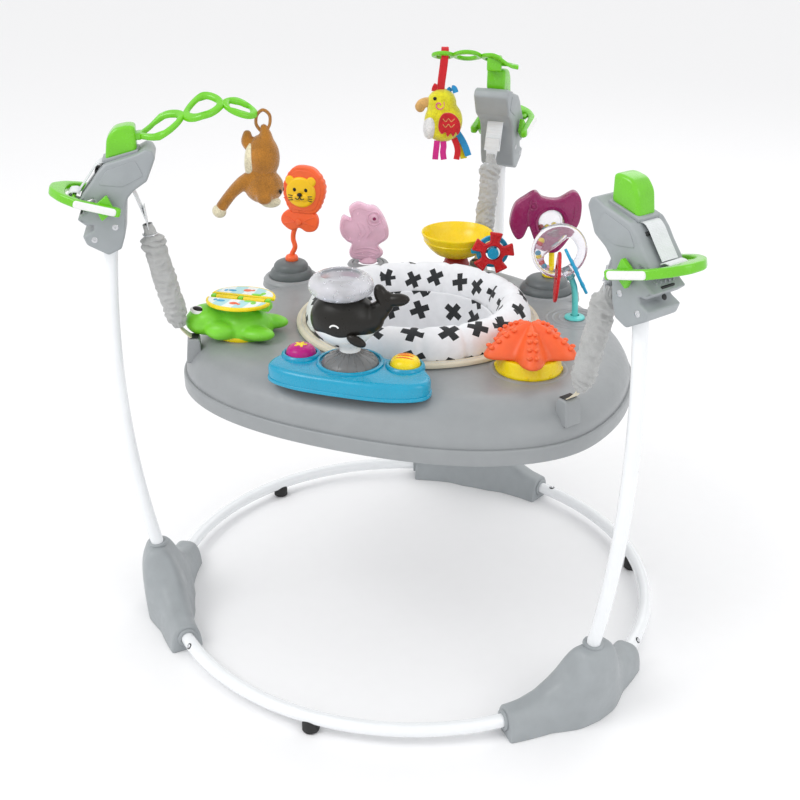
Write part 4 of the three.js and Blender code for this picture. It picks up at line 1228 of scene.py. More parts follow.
bowl = piece("seat_bowl", bowlShell(), seat["at"], look["seat"], "seat", ["seat_fabric"],
             crease=0,
             keepNormals=True)
trims = []
for angle in seat["legs"]["angles"]:
    line = []
    for s in np.linspace(0, 2 * math.pi, 90)[:-1]:
        t, z = seat["legs"]["wide"] * math.cos(s), seat["legs"]["z"] + seat["legs"]["high"] * math.sin(s)
        r = float(np.interp(z, *zip(*[(q[1], q[0]) for q in reversed(seat["bowl"])])))
        turn = math.radians(angle) + math.asin(t / r)
        line.append(((r + 0.5) * math.cos(turn), (r + 0.5) * math.sin(turn), z))
    trims.append(sweep(line, 3.4, 12, closed=True))
binding = ringLathe([(183.5, 505), (197.5, 504.8), (199.2, 506.2), (199.4, 509), (198, 511.2), (192, 512.2),
                     (184, 511.8)], 160)
insideLip = ringLathe([(176.6, 478.3), (185.6, 478.3), (185.8, 504.9), (183.5, 505.5), (177.2, 504.5)], 120)
piece("seat_binding", merged(binding, insideLip), seat["at"], look["piping"], "seat",
      ["seat_ring"])
piece("leg_trims", merged(*trims), seat["at"], look["piping"], "seat")
stitch = block(-1.7, 1.7, -0.45, 0.45, -0.35, 0.35, 0.3)
reach = seat["stitchRadius"]
places = [(reach * math.cos(a), reach * math.sin(a), 512.3, (0, 0, a + math.pi / 2))
          for a in np.linspace(0, 2 * math.pi, seat["stitches"] + 1)[:-1]]
piece("binding_stitches", repeated(stitch, places, look["webbing"]), seat["at"], look["webbing"], "seat")
print("seat made")

def turnedLoop(radius, count=48, x=0.0, z=0.0):
    return [(x + radius * math.cos(2 * math.pi * i / count), z + radius * math.sin(2 * math.pi * i / count))
            for i in range(count)]


def disc(x, z, radius, y0, y1, roundness=0.5, count=48):
    mesh = plate(turnedLoop(radius, count, x, z), y1 - y0, roundness)
    mesh.transform(Matrix.Translation((0, (y0 + y1) / 2, 0)))
    return mesh


def relief(points, y, radius, count=40, closed=False):
    return sweep([(x, y, z) for x, z in smoothLine(points, count, closed)], radius, 8, closed=closed)


def shrunk(loop, share):
    middle = np.mean(np.array(loop), axis=0)
    return [tuple(middle + (np.array(p) - middle) * share) for p in loop]


def softDome(r, h):
    tiers = [(0, 0), (1, 0), (1, 0.08), (0.985, 0.2), (0.95, 0.33), (0.9, 0.43), (0.84, 0.47), (0.815, 0.49),
             (0.81, 0.56),
             (0.78, 0.72), (0.7, 0.85), (0.57, 0.94), (0.4, 0.99), (0.2, 1), (0, 1)]
    return lathe([(r * a, h * b) for a, b in tiers], 72)


def splitFinish(name, low, high, height, wave, length, rough=0.32):
    finish = Finish(name)
    split = finish.node("ShaderNodeSeparateXYZ")
    finish.link(finish.place(), split.inputs["Vector"])
    ripple = finish.maths("SINE", finish.maths("MULTIPLY", split.outputs["X"], 2 * math.pi / length))
    line = finish.maths("ADD", finish.maths("MULTIPLY", ripple, wave), height)
    above = finish.maths("GREATER_THAN", split.outputs["Z"], line)
    finish.link(finish.ramp(above, low, high, 0.45, 0.55), finish.shader.inputs["Base Color"])
    finish.link(finish.spread(finish.cloud(150, 4), rough - 0.05, rough + 0.06),
                finish.shader.inputs["Roughness"])
    finish.shader.inputs["Specular IOR Level"].default_value = 0.3
    return finish.material


lion = {
    "at": spot(-291, 151, deck, 5),
    "mane": [(14, 200), (30, 203), (50, 199), (63, 184), (69, 166), (64, 143), (52, 123), (28, 120), (6, 123),
             (-5, 145), (-6, 168), (3, 188)],
    "bow": [(-12, 98), (-13, 111), (-3, 122), (10, 121), (24, 121), (38, 121), (50, 119), (55, 106), (50, 90),
            (34, 86),
            (20, 92), (4, 87)],
    "stem": [(2, 33), (3, 42), (9, 55), (6, 70), (8, 84), (15, 100)],
    "face": (27, 158), "front": -13.4,
}
faceX, faceZ = lion["face"]
maneLoop = smoothLine(lion["mane"], 200, closed=True)
scallop = [0.028 * abs(math.sin(i * math.pi / 7.7)) * (z < 190) for i, (x, z) in enumerate(maneLoop)]
maneLoop = [(faceX + (x - faceX) * (1 + s), faceZ + (z - faceZ) * (1 + s)) for (x, z),
            s in zip(maneLoop, scallop)]
maneLines = [relief([(faceX + a * 29 * math.cos(t), faceZ + a * 30 * math.sin(t)) for a in (1.03, 1.2)], -8,
                    1.0, 8)
             for t in np.linspace(0, 2 * math.pi, 19)[:-1]]
piece("lion_mane", merged(plate(maneLoop, 15.6, 3.2), plate(shrunk(maneLoop, 0.86), 18, 2), *maneLines),
      lion["at"],
      look["orange"], "lion", ["lion_toy"])
bowLoop = smoothLine(lion["bow"], 80, closed=True)
bowLines = [relief([(20 + s * 7, 103), (20 + s * 18, 106 + k), (20 + s * 28, 107 + 1.7 * k)], -6.2, 0.9, 12)
            for s in (-1, 1) for k in (-5, 4)]
stemLine = smoothLine([(x, 0, z) for x, z in lion["stem"]], 40)
collarOf = lathe([(0, 29.5), (10.5, 29.5), (11.5, 31), (11.5, 36), (9.5, 39), (6, 40.5), (0, 41)], 40)
collarOf.transform(Matrix.Translation((2, 0, 0)))
piece("lion_bow", merged(plate(bowLoop, 12, 2.5), *bowLines, disc(20, 103, 6.2, -8.5, 8.5, 2.5),
                         sweep(stemLine, 4.5, 16), collarOf),
      lion["at"], look["orange"], "lion")
ears = [disc(faceX + s * 19.5, faceZ + 19.5, 8.6, -11.5, 11.5, 3) for s in (-1, 1)]
cheeks = [ball(8.6, 4.2, 7, faceX + s * 6.6, lion["front"] + 1.5, faceZ - 8.5, rings=12) for s in (-1, 1)]
faceLoop = [(faceX + 27.5 * math.cos(t), faceZ + 27 * math.sin(t)) for t in np.linspace(0, 2 * math.pi,
        65)[:-1]]
piece("lion_face", merged(plate(faceLoop, 25, 5, steps=4), *ears, *cheeks), lion["at"], look["lemon"], "lion")
marks = [ball(3.0, 1.6, 3.4, faceX + s * 10.5, lion["front"] + 0.9, faceZ + 5, rings=10) for s in (-1, 1)]
marks.append(ball(4.6, 3.2, 3.4, faceX, lion["front"] - 3, faceZ - 2.5, rings=12))
marks += [relief([(faceX, faceZ - 6), (faceX + s * 3.2, faceZ - 11), (faceX + s * 8.5, faceZ - 8.6)], -16.4,
                 0.75, 14)
          for s in (-1, 1)]
marks += [relief([(faceX + s * 14, faceZ - 6 - 3.4 * k), (faceX + s * 22, faceZ - 5 - 4.6 * k)], -13, 0.7, 6)
          for s in (-1, 1) for k in (0, 1, 2)]
piece("lion_marks", merged(*marks), lion["at"], look["black"], "lion")
piece("lion_base", softDome(39, 30.3), lion["at"], look["darkGrey"], "tray", ["lion_dome"])

fish = {
    "at": spot(-192, 275, deck, 22),
    "side": [(-52, 70), (-46, 89), (-31, 84), (-34, 104), (-18, 114), (0, 108), (14, 106), (28, 90), (38, 64),
             (36, 47),
             (19, 33), (28, 18), (12, 7), (-26, 8), (-35, 20), (-30, 36), (-39, 42), (-49, 54)],
    "thick": 21, "eye": (12, 86),
}
fishLoop = smoothLine(fish["side"], 140, closed=True)
eyeX, eyeZ = fish["eye"]
front = -fish["thick"] / 2
fishParts = [plate(fishLoop, fish["thick"], 5, steps=4),
             relief(shrunk(fishLoop, 0.85)[::4], front + 0.2, 1.1, 130, True)]
fishParts += [relief([(-20 + 9 * k, 50), (-13 + 9 * k, 62), (-19 + 9 * k, 76)], front + 0.1, 1.2,
                     18) for k in range(3)]
fishParts += [relief([(-24, 27 - 7 * k), (-4, 31 - 7 * k), (16, 26 - 7 * k)], front + 0.1, 1.2,
                     22) for k in range(2)]
fishParts += [relief([(29, 66), (35, 62), (31, 56)], front + 2, 2.0, 12)]
fishParts += [relief(turnedLoop(12.5, 40, eyeX, eyeZ), front, 1.7, 60, True),
              disc(eyeX, eyeZ, 7.6, front - 2.4, front + 2, 1.6)]
fishParts += [lathe([(0, 0.3), (16, 0.3), (17, 2), (16.4, 5), (13, 8.5), (11, 12), (0, 12)], 48)]
piece("pink_fish", merged(*fishParts), fish["at"], look["pink"], "fish", ["fish_toy"])
piece("fish_pupil", disc(eyeX, eyeZ, 3.2, front - 3.1, front - 1.5, 0.6, 24), fish["at"], look["magenta"],
      "fish")

dish = {"at": spot(-27, 300, deck, 22), "star": (60, -72, 54), "reach": 39}
piece("dish_base", merged(
    lathe([(0, 0), (24, 0), (24.3, 2), (22.6, 6), (22, 16), (20.5, 19.5), (16, 24), (0, 24)], 64),
    ringLathe([(22.8, 7.5), (24.2, 9.5), (24.2, 11.5), (22.6, 13.4), (21.8, 10.5)], 64)),
    dish["at"], look["darkRed"], "tray", ["bowl_base"])
wallOf = [(0, 24.4), (17, 24.4), (27, 26.6), (40, 32.4), (50, 41.5), (57, 50), (61, 60), (63.5, 66),
          (64.6, 68.4), (64.3, 70.4),
          (62.6, 70.8), (60.6, 68.6), (58, 60), (52, 49), (38, 36.4), (27, 30.6), (16, 28.4), (0, 28.2)]
piece("yellow_dish", merged(
    lathe(wallOf, 96), ringLathe([(56.5, 52.2), (60, 54.2), (60.6, 56.4), (59.4, 58.4), (57.5, 56)], 96)),
    dish["at"], look["yellow"], "tray", ["bowl"])


def flaredArms(reach, tip, base, root):
    loop = []
    for arm in range(5):
        turn = math.radians(82 + 72 * arm)
        for out, side in ((base, -root), (reach, -tip), (reach, tip), (base, root)):
            loop.append((out * math.cos(turn) - side * math.sin(turn),
                         out * math.sin(turn) + side * math.cos(turn)))
    return rounded(loop, 3.5, 5)


def starLoop(radius, depth, count, ends):
    loop = []
    for i in range(count):
        turn = 2 * math.pi * i / count
        wave = (0.5 + 0.5 * math.cos(5 * (turn - math.radians(82)))) ** ends
        loop.append(((radius - depth + depth * wave) * math.cos(turn),
                     (radius - depth + depth * wave) * math.sin(turn)))
    return loop


spinner = plate(flaredArms(dish["reach"] - 2, 12, 20, 7.5), 7, 2.2, holes=[turnedLoop(12.6, 40)[::-1]],
                steps=3)
ridge = relief(flaredArms(dish["reach"] - 6, 8, 20, 4.5)[::2], -3.4, 1.0, 160, True)
starMesh = merged(spinner, ridge, disc(0, 0, 5, -4, 3, 1, 32))
starMesh.transform(Matrix.Translation(dish["star"]))
hub = lathe([(0, -6), (8, -6), (10, -4.5), (10, 8), (0, 8)], 40)
backRing = ringLathe([(21, -3), (28, -3), (29, -2), (29, 2), (28, 3), (21, 3)], 72)
backRing.transform(Matrix.Rotation(math.pi / 2, 4, "X"))
hub.transform(Matrix.Rotation(math.pi / 2, 4, "X"))
hub.transform(Matrix.Translation((0, 2, 0)))
backRing.transform(Matrix.Translation((0, 9, 0)))
spokes = []
for number in range(3):
    spoke = block(-3, 3, 6.4, 11.4, 0, 24, 1)
    spoke.transform(Matrix.Rotation(math.radians(120 * number + 30), 4, "Y"))
    spokes.append(spoke)
ringMesh = merged(hub, backRing, *spokes, block(-38, -25, 6, 14, -4, 4, 1.5))
ringMesh.transform(Matrix.Translation(dish["star"]))
piece("red_star", welded(starMesh), dish["at"], look["red"], "star_spinner", ["spinner_star"])
piece("blue_ring", welded(ringMesh), dish["at"], look["ringBlue"], "tray", ["spinner_ring"])

toucan = {
    "at": spot(157, 251, deck, 22),
    "side": [(-70, 128), (-63, 154), (-46, 168), (-29, 177), (-16, 167), (10, 164), (36, 177), (49, 161),
             (49, 128), (38, 105),
             (16, 74), (-5, 72), (-24, 88), (-34, 110), (-38, 118), (-46, 99), (-57, 95), (-68, 112)],
    "bubble": (0, 124), "eye": (-32, 153), "front": -11,
}
toucanLoop = smoothLine(toucan["side"], 170, closed=True)
bubbleX, bubbleZ = toucan["bubble"]
body = plate(toucanLoop, 22, 4, holes=[turnedLoop(24, 60, bubbleX, bubbleZ)[::-1]], steps=4)
edges = [relief([(-38, 118), (-41, 138), (-36, 164)], toucan["front"] + 0.1, 1.3, 24)]
edges += [relief([(27 + 5 * k, 108 + 9 * k), (36 + 2 * k, 128 + 7 * k), (38, 152)], toucan["front"] + 0.1,
                 1.1, 18) for k in (0, 1)]
collarRing = ringLathe([(22.8, -11.5), (26.8, -12.6), (28.2, -10.5), (28, 10.5), (26.8, 12.6), (22.8, 11.5)],
                       72)
collarRing.transform(local(bubbleX, 0, bubbleZ, 90, "X"))
piece("toucan_body", merged(body, *edges, collarRing), toucan["at"], look["magenta"], "toucan",
      ["toucan_toy"])
eyeRings = [relief(turnedLoop(6.6, 32, *toucan["eye"]), s * 11.2, 1.3, 50, True) for s in (-1, 1)]
piece("toucan_eyes", merged(*eyeRings, disc(*toucan["eye"], 3.6, -12.6, 12.6, 1.2, 24)), toucan["at"],
      look["magenta"], "toucan")
piece("toucan_bubble", ball(23.4, 17, 23.4, bubbleX, 0, bubbleZ, rings=36), toucan["at"], look["clear"],
      "toucan")
beadSpots = {"teal": [(-9, -4, -12), (8, 5, -10), (-2, 6, -15)], "red": [(2, -5, -14), (-13, 3, -9)],
             "yellow": [(12, -3, -8), (5, 1, -5), (-5, 0, -8)]}
for shadeName, spots in beadSpots.items():
    bead = ball(4.3, 4.3, 4.3, rings=12)
    places = [(bubbleX + x, y, bubbleZ + z) for x, y, z in spots]
    piece(f"toucan_beads_{shadeName}", repeated(bead, places, look[shadeName]), toucan["at"], look[shadeName],
          "toucan")
toucanStem = sweep(smoothLine([(5, 0, 28), (6.5, 0, 42), (6, 0, 56), (5, 0, 82)], 30), 5, 16)
foot = lathe([(0, 26), (12, 26), (13.5, 27.5), (13.5, 32), (10, 36), (6.5, 38), (0, 38)], 48)
foot.transform(Matrix.Translation((5, 0, 0)))
piece("toucan_stem", merged(toucanStem, foot), toucan["at"], look["yellow"], "toucan")
piece("toucan_base", softDome(46, 26.2), toucan["at"], look["darkGrey"], "tray", ["toucan_dome"])

rattle = {
    "at": spot(236, 137, deck, 22), "middle": (-33, 116), "radius": 45,
    "hole": [(14, 22), (29, 3), (24, -17), (8, -29), (-12, -30), (-24, -14), (-18, -2), (-4, 8)],
    "stem": [(0, 1.5), (-1, 25), (-4, 52), (-9, 66), (-14, 76)],
}
midX, midZ = rattle["middle"]
holeLoop = [(midX + x, midZ + z) for x, z in smoothLine(rattle["hole"], 60, closed=True)]
ringShell = plate(turnedLoop(rattle["radius"], 96, midX, midZ), 16, 6.8, holes=[holeLoop[::-1]], steps=6)
piece("rattle_ring", ringShell, rattle["at"], look["clear"], "rattle", ["ring_rattle"])
beadColours = {"pink": [168, 205, 238], "blue": [186, 226], "yellow": [150, 196, 250], "red": [158, 215]}
for shadeName, angles in beadColours.items():
    bead = ball(4.6, 4.6, 4.6, rings=12)
    places = [(midX + 34 * math.cos(math.radians(a)), 2.2 * math.sin(7.0 * a),
               midZ + 34 * math.sin(math.radians(a))) for a in angles]
    piece(f"rattle_beads_{shadeName}", repeated(bead, places, look[shadeName]), rattle["at"], look[shadeName],
          "rattle")
stemLine = smoothLine([(x, 0, z) for x, z in rattle["stem"]], 40)
flange = ringLathe([(7.4, 0.3), (16, 0.3), (17, 1.6), (16, 4), (10, 5.6), (7.4, 5.8)], 56)
piece("rattle_stem", sweep(stemLine, 5.2, 16), rattle["at"], look["teal"], "rattle")
piece("rattle_flange", flange, rattle["at"], look["teal"], "tray")
neck = sweep(smoothLine([(-11, 0, 70), (-16, 0, 78), (-20, 0, 84)], 12), 8, 20)
piece("rattle_neck", neck, rattle["at"], look["clear"], "rattle")
paddleShapes = {"red": ((-33, 79), 2, "red"), "blue": ((-7, 88), -28, "ringBlue")}
for shadeName, ((x, z), lean, colour) in paddleShapes.items():
    oval = [(18 * math.cos(t), 43 * math.sin(t) - 8) for t in np.linspace(0, 2 * math.pi, 81)[:-1]]
    blade = plate(oval, 5, 1.8, holes=[turnedLoop(12.6, 40)[::-1]], steps=3)
    rim = relief(turnedLoop(14, 40), -2.4, 1.0, 60, True)
    mesh = merged(blade, rim, disc(0, -34, 4.5, -3.2, 3.2, 1, 24))
    mesh.transform(Matrix.Rotation(math.pi / 2, 4, "Z"))
    mesh.transform(local(x, 0, z, lean))
    piece(f"paddle_blade_{shadeName}", welded(mesh), rattle["at"], look[colour],
          f"paddle_{shadeName}", [f"paddle_{shadeName}"])

star = {
    "at": spot(221, -89, deck), "turn": 70,
    "layers": [(0.9, 24.6), (1.0, 25.6), (1.03, 29), (1.0, 34), (0.92, 40), (0.8, 47), (0.65, 54.5),
               (0.48, 61.5), (0.3, 68),
               (0.15, 71.5), (0.04, 72.6)],
}


def armReach(turn):
    wave = (0.5 + 0.5 * math.cos(5 * (turn + math.radians(star["turn"])))) ** 1.2
    return 42 + 28 * wave, wave


layers = smoothLine(star["layers"], 46)
starRings = []
for share, z in layers:
    ring = []
    for j in range(200):
        turn = 2 * math.pi * j / 200
        reach, wave = armReach(turn)
        groove = 2.6 * (1 - wave) ** 2 * math.sin(math.pi * min(1, share)) - 1.1 * wave ** 6 * (share < 0.98)
        ring.append((reach * share * math.cos(turn), reach * share * math.sin(turn), z - groove))
    starRings.append(ring)
bumpPlaces = []
for arm in range(5):
    turn = 2 * math.pi * arm / 5 - math.radians(star["turn"])
    across = turn + math.pi / 2
    for share, z in ((0.9, 42.4), (0.74, 51), (0.57, 58.8), (0.4, 65)):
        for sideWay in (-1, 1):
            gap = 3.2 + 2.6 * share
            bumpPlaces.append((70 * share * math.cos(turn) + sideWay * gap * math.cos(across),
                               70 * share * math.sin(turn) + sideWay * gap * math.sin(across), z))
bump = ball(4.4, 4.4, 3.0, rings=10)
piece("starfish_top", merged(welded(skinRings(starRings)),
                             repeated(bump, bumpPlaces, look["starfish"], seed=3)), star["at"],
      look["starfish"], "starfish", ["starfish"])
base = [lathe([(0, 0), (50, 0), (50.6, 2), (50, 5), (48.6, 7), (48, 20), (46, 23.4), (40, 24.2), (0, 24.2)],
              96)]
for number in range(8):
    tab = block(46, 51.4, -3, 3, 0.5, 6, 1.2)
    tab.transform(Matrix.Rotation(math.radians(45 * number + 12), 4, "Z"))
    base.append(tab)
piece("starfish_base", merged(*base), star["at"], look["yellow"], "tray", ["starfish_disc"])

pageFinish = stripedFinish("page faces", (0.8, 0.86, 0.84), (0.42, 0.72, 0.75), 9.0, "X", 0.35, 3.0)
turtle = {
    "at": spot(-247, -126, deck, 6),
    "lumps": [(50, 42, 38, 4, 0, 10), (36, 30, 25, -46, -16, 24), (27, 25, 21, -56, -22, 22),
              (26, 16, 15, -18, -40, 17),
              (30, 18, 11, 40, -29, 14), (30, 18, 11, 42, 28, 14), (28, 16, 11, -18, 38, 15)],
    "page": {"half": 53, "depth": 42.5, "inner": 9.5, "z": 58, "thick": 5.6, "middle": 4},
}
lumps = fused(1.9, 14, *[ball(*lump) for lump in turtle["lumps"]])
lumps = evaluated(lumps, ("BOOLEAN", {"operation": "INTERSECT", "solver": "EXACT",
                                      "object": bpy.data.objects.new(
    "keep", block(-130, 130, -130, 130, 0.4, 54, 0.5))}))
piece("turtle_back", lumps, turtle["at"], look["turtle"], "tray", ["turtle_body"], crease=50)
piece("turtle_eye", ball(15, 11, 7, -57, -27, 41, 12, rings=18), turtle["at"], look["white"], "tray")
piece("turtle_pupil", ball(9.6, 6.4, 4.2, -57, -30, 44.6, 12, rings=14), turtle["at"], look["black"], "tray")
under = lathe([(0, 0), (42, 0), (43, 2), (42, 7), (38, 9), (0, 9)], 72)
under.transform(Matrix.Translation((4, 0, 0)))
piece("turtle_base", under, turtle["at"], look["yellow"], "tray")
brackets = [block(x - 4, x + 4, -4.6, 4.6, 46, 61.6, 2) for x in (-42, 4, 50)]
piece("turtle_brackets", merged(*brackets, block(-46, 54, -9.5, 9.5, 44, 54, 1.6)), turtle["at"],
      look["turtle"], "tray")
barrels = [sweep([(x0, 0, 57.6), (x1, 0, 57.6)], 4.1, 16) for x0, x1 in ((-37, -1), (9, 45))]
piece("turtle_barrels", merged(*barrels), turtle["at"], look["yellow"], "tray")
page = turtle["page"]


def pageLoop(side, inset=0.0, count=44):
    loop = []
    for i in range(count + 1):
        turn = math.pi * i / count
        loop.append((page["middle"] + (page["half"] - inset) * math.cos(turn),
                     side * (page["inner"] + inset * 0.8 + (page["depth"] - 1.8 * inset) * math.sin(turn))))
    return loop if side > 0 else loop[::-1]


for side, name in ((-1, "front"), (1, "back")):
    sheet = plate(pageLoop(side), page["thick"], 2, upright=False)
    sheet.transform(Matrix.Translation((0, 0, page["z"])))
    piece(f"page_{name}_rim", sheet, turtle["at"], look["yellow"], f"page_{name}",
          [f"turtle_page_{name}"])
    face = plate(pageLoop(side, 5), page["thick"] + 1.2, 0.6, upright=False)
    face.transform(Matrix.Translation((0, 0, page["z"])))
    piece(f"page_{name}_face", face, turtle["at"], pageFinish, f"page_{name}")
    pictures = {"ringBlue": [(-20, 24, 7, 4), (-30, 22, 3, 4)], "turtle": [(26, 16, 10, 3.5), (34, 22, 4, 5)],
                "orange": [(4, 30, 7, 5), (13, 32, 3, 3)]}
    for shadeName, spots in pictures.items():
        parts = []
        for x, y, rx, ry in spots:
            part = plate([(x + rx * math.cos(t), side * (y + ry * math.sin(t))) for t in np.linspace(0,
                    2 * math.pi, 29)[:-1]],
                         page["thick"] + 1.8, 0.2, upright=False)
            part.transform(Matrix.Translation((0, 0, page["z"])))
            parts.append(part)
        piece(f"page_{name}_{shadeName}", merged(*parts), turtle["at"], look[shadeName], f"page_{name}")
print("lion, fish, dish, toucan, rattle, starfish and turtle made")

console = {
    "at": spot(-11, -226, deck, 7),
    "plan": [(-116, -8), (-112, -38), (-70, -58), (0, -66), (70, -66), (118, -50), (126, -20), (104, 14),
             (70, 26), (44, 34),
             (26, 50), (-26, 50), (-48, 30), (-96, 24)],
    "buttons": {"magenta": ((-79, 10), "buttonPink", "left"), "yellow": ((81, 8), "yellow", "right")},
}
planLoop = smoothLine(console["plan"], 160, closed=True)
slabOf = plate(planLoop, 26.6, 8, upright=False, steps=5)
slabOf.transform(Matrix.Translation((0, 0, 13.5)))
skirtOf = plate([tuple(np.array(p) * 1.012) for p in planLoop], 6, 1.5, upright=False)
skirtOf.transform(Matrix.Translation((0, 0, 3.2)))
collars = []
for (x, y), _, _ in console["buttons"].values():
    one = ringLathe([(22.9, 16), (29, 14), (29.4, 26), (28.6, 29), (26.5, 31), (24.2, 31), (22.9, 29.4)], 72)
    one.transform(Matrix.Translation((x, y, 0)))
    collars.append(one)
recess = ringLathe([(44.4, 14), (50, 14), (50.6, 26), (49.6, 29.4), (47.5, 30.6), (45.2, 30), (44.4, 28)], 96)
piece("console_shell", merged(slabOf, skirtOf, *collars, recess), console["at"], look["blue"], "tray",
      ["console"])
for name, ((x, y), colour, side) in console["buttons"].items():
    cap = lathe([(0, 21), (22.3, 21), (22.3, 30), (21.4, 34.6), (18.6, 38.8), (14, 41.4), (7.5, 42.8),
                 (0, 43.1)], 72)
    cap.transform(Matrix.Translation((x, y, 0)))
    piece(f"button_cap_{side}", cap, console["at"], look[colour], f"button_{side}",
          [f"button_{name}"])
emblem = plate([tuple(np.array(p) * 0.34) for p in starLoop(30, 15, 80, 1.3)], 2.4, 0.8, upright=False)
emblem.transform(Matrix.Translation((-79, 10, 42.2)))
piece("button_star", emblem, console["at"], look["yellow"], "button_left")
bands = []
for k in (-1, 0, 1):
    arc = [(81 + t, 8 + 7.5 * k, 43.6 - (t * t + (7.5 * k) ** 2) / 66) for t in np.linspace(-12, 12, 13)]
    bands.append(sweep(arc, 1.1, 8))
piece("button_bands", merged(*bands), console["at"], look["orange"], "button_right")
coneParts = [lathe([(0, 14.4), (43, 14.4), (43.6, 21), (43, 26), (40, 31.5), (34, 36.4), (26, 40), (20, 42),
                    (16.4, 44.6), (13.6, 48), (0, 48)], 96)]
for number in range(18):
    rib = sweep([(41.4, 0, 29), (34, 0, 36.2), (20.4, 0, 41.8), (14.4, 0, 47)], 1.0, 8)
    rib.transform(Matrix.Rotation(math.radians(20 * number), 4, "Z"))
    coneParts.append(rib)
piece("smoke_cone", merged(*coneParts), console["at"], look["smoke"], "tray", ["whale_cone"])
whaleFinish = splitFinish("whale skin", (0.86, 0.86, 0.85), (0.014, 0.013, 0.011), (deck + 80) * mm, 2.2 * mm,
                          0.05)
whaleBody = fused(2.1, 10, ball(50, 37, 41, -8, 0, 95, rings=40), ball(22, 19, 20, 30, 0, 96, -35, rings=24),
                  ball(15, 13, 21, 43, 0, 110, 40, rings=20))
piece("whale_body", whaleBody, console["at"], whaleFinish, "whale", ["whale_toy"], crease=0)
flukes = fused(1.7, 6, ball(12, 10, 18, 54, 0, 124, 10), ball(10, 9, 17, 47, 0, 135, -20),
               ball(19, 9.5, 9.5, 70, 0, 130, -8))
piece("whale_flukes", flukes, console["at"], look["black"], "whale", crease=0)
fin = ball(15, 6, 7.5, 20, -35, 76, 22)
piece("whale_fin", fin, console["at"], look["black"], "whale")
piece("whale_neck", lathe([(0, 47), (15.5, 47), (15.6, 52), (18, 57), (24, 62), (27, 66), (0, 68)], 56),
      console["at"],
      look["white"], "whale")
eyeArc = [(-12 + 6.5 * math.cos(t), -37.3 + 0.6 * abs(math.cos(t)),
           92 + 5 * math.sin(t)) for t in np.linspace(0.3, math.pi - 0.3, 18)]
piece("whale_eye", sweep(eyeArc, 1.3, 10), console["at"], look["white"], "whale")
spout = lathe([(0, 116), (22, 116), (23, 122), (23, 125), (25, 127), (34, 129.6), (41, 133.6), (46, 138.5),
               (47, 144.5), (45.4, 151),
               (41, 156.5), (34, 160.5), (30.5, 161.6), (29, 160), (30, 156), (37, 150), (39.6, 144),
               (38, 138), (30, 131.4),
               (18, 127), (0, 126)], 96)
spout.transform(Matrix.Translation((-12, 0, 0)))
piece("whale_spout", spout, console["at"], look["frosted"], "whale")
drops = [(-12 + 27 * math.cos(a), 27 * math.sin(a), 134 + 1.5 * math.sin(3 * a)) for a in np.linspace(0,
        2 * math.pi, 10)[:-1]]
piece("whale_drops", repeated(ball(5, 5, 4, rings=12), drops, look["frosted"], 1.0, 0.25, 4), console["at"],
      look["frosted"], "whale")
print("console and whale made")

arms = {
    "leaves": [(0, 70, 24), (70, 128, 25), (128, 176, 17)], "thick": 8.5, "rim": 8.2, "neck": 8, "roll": 25,
    "left": ([(0, 0), (20, 5), (45, 17), (70, 27), (98, 41), (125, 43), (150, 37), (176, 27)],
             spot(turn=210) @ local(410.6, 0, 826) @ Matrix.Rotation(math.pi, 4, "Z"), 1.0),
    "back": ([(0, 0), (20, 6), (45, 16), (80, 21), (155, 20), (176, 20)],
             whole @ local(36, 412, 850) @ Matrix.Rotation(math.radians(195), 4, "Z"), 0.87),
}


def leafLoop(x0, x1, half, count=40):
    upper = []
    for i in range(count + 1):
        t = i / count
        upper.append((x0 + (x1 - x0) * t, max(arms["neck"] * min(1, 12 * t, 12 * (1 - t)),
                                              half * math.sin(math.pi * t) ** 0.62)))
    return upper + [(x, -y) for x, y in upper[::-1]]


for name in ("left", "back"):
    rise, at, scale = arms[name]
    parts = []
    for number, (x0, x1, half) in enumerate(arms["leaves"]):
        if name == "back" and number == 2:
            x0, x1 = 126, 170
        outer = leafLoop(x0 - 2, x1 + 2, half)
        inner = leafLoop(x0 + arms["rim"], x1 - arms["rim"], half - arms["rim"])
        leaf = plate(outer, arms["thick"] - 0.4, 2.6, holes=[inner[::-1]], upright=False, steps=3)
        parts.append(leaf)
    parts.append(block(-16, 8, -12, 12, -5, 5, 2.5) if name == "left" else block(-6, 8, -9, 9, -4, 4, 2))
    chain = merged(*parts)
    chain = evaluated(chain, ("TRIANGULATE", {}))
    for vertex in chain.vertices:
        x, y, _ = vertex.co
        roll = arms["roll"] * min(1, max(0, (x - 4) / 30))
        vertex.co.z += (float(smoothTable(rise, [x], 7.0)[0]) if x > 0
                        else 0) + y * math.tan(math.radians(roll))
    if name == "back":
        chain = merged(chain, block(28, 58, -14, 14, -8, 21, 4))
    chain.transform(Matrix.Diagonal((scale, scale, scale, 1)))
    piece(f"leaf_chain_{name}", chain, at, look["green"], "frame", [f"toy_arm_{name}"],
          crease=30)
print("leaf chains made")

monkey = {"at": spot(-202, -116, 0, 22), "voxel": 2.0}


def tapered(points, radii, sides=20):
    line = smoothLine(points, 26)
    wide = np.interp(np.linspace(0, 1, 26), np.linspace(0, 1, len(radii)), radii)
    mesh = sweep(line, 1.0, sides, radii=wide)
    caps = [ball(w, w, w, *p, rings=14) for p, w in ((line[0], wide[0]), (line[-1], wide[-1]))]
    return merged(mesh, *caps)


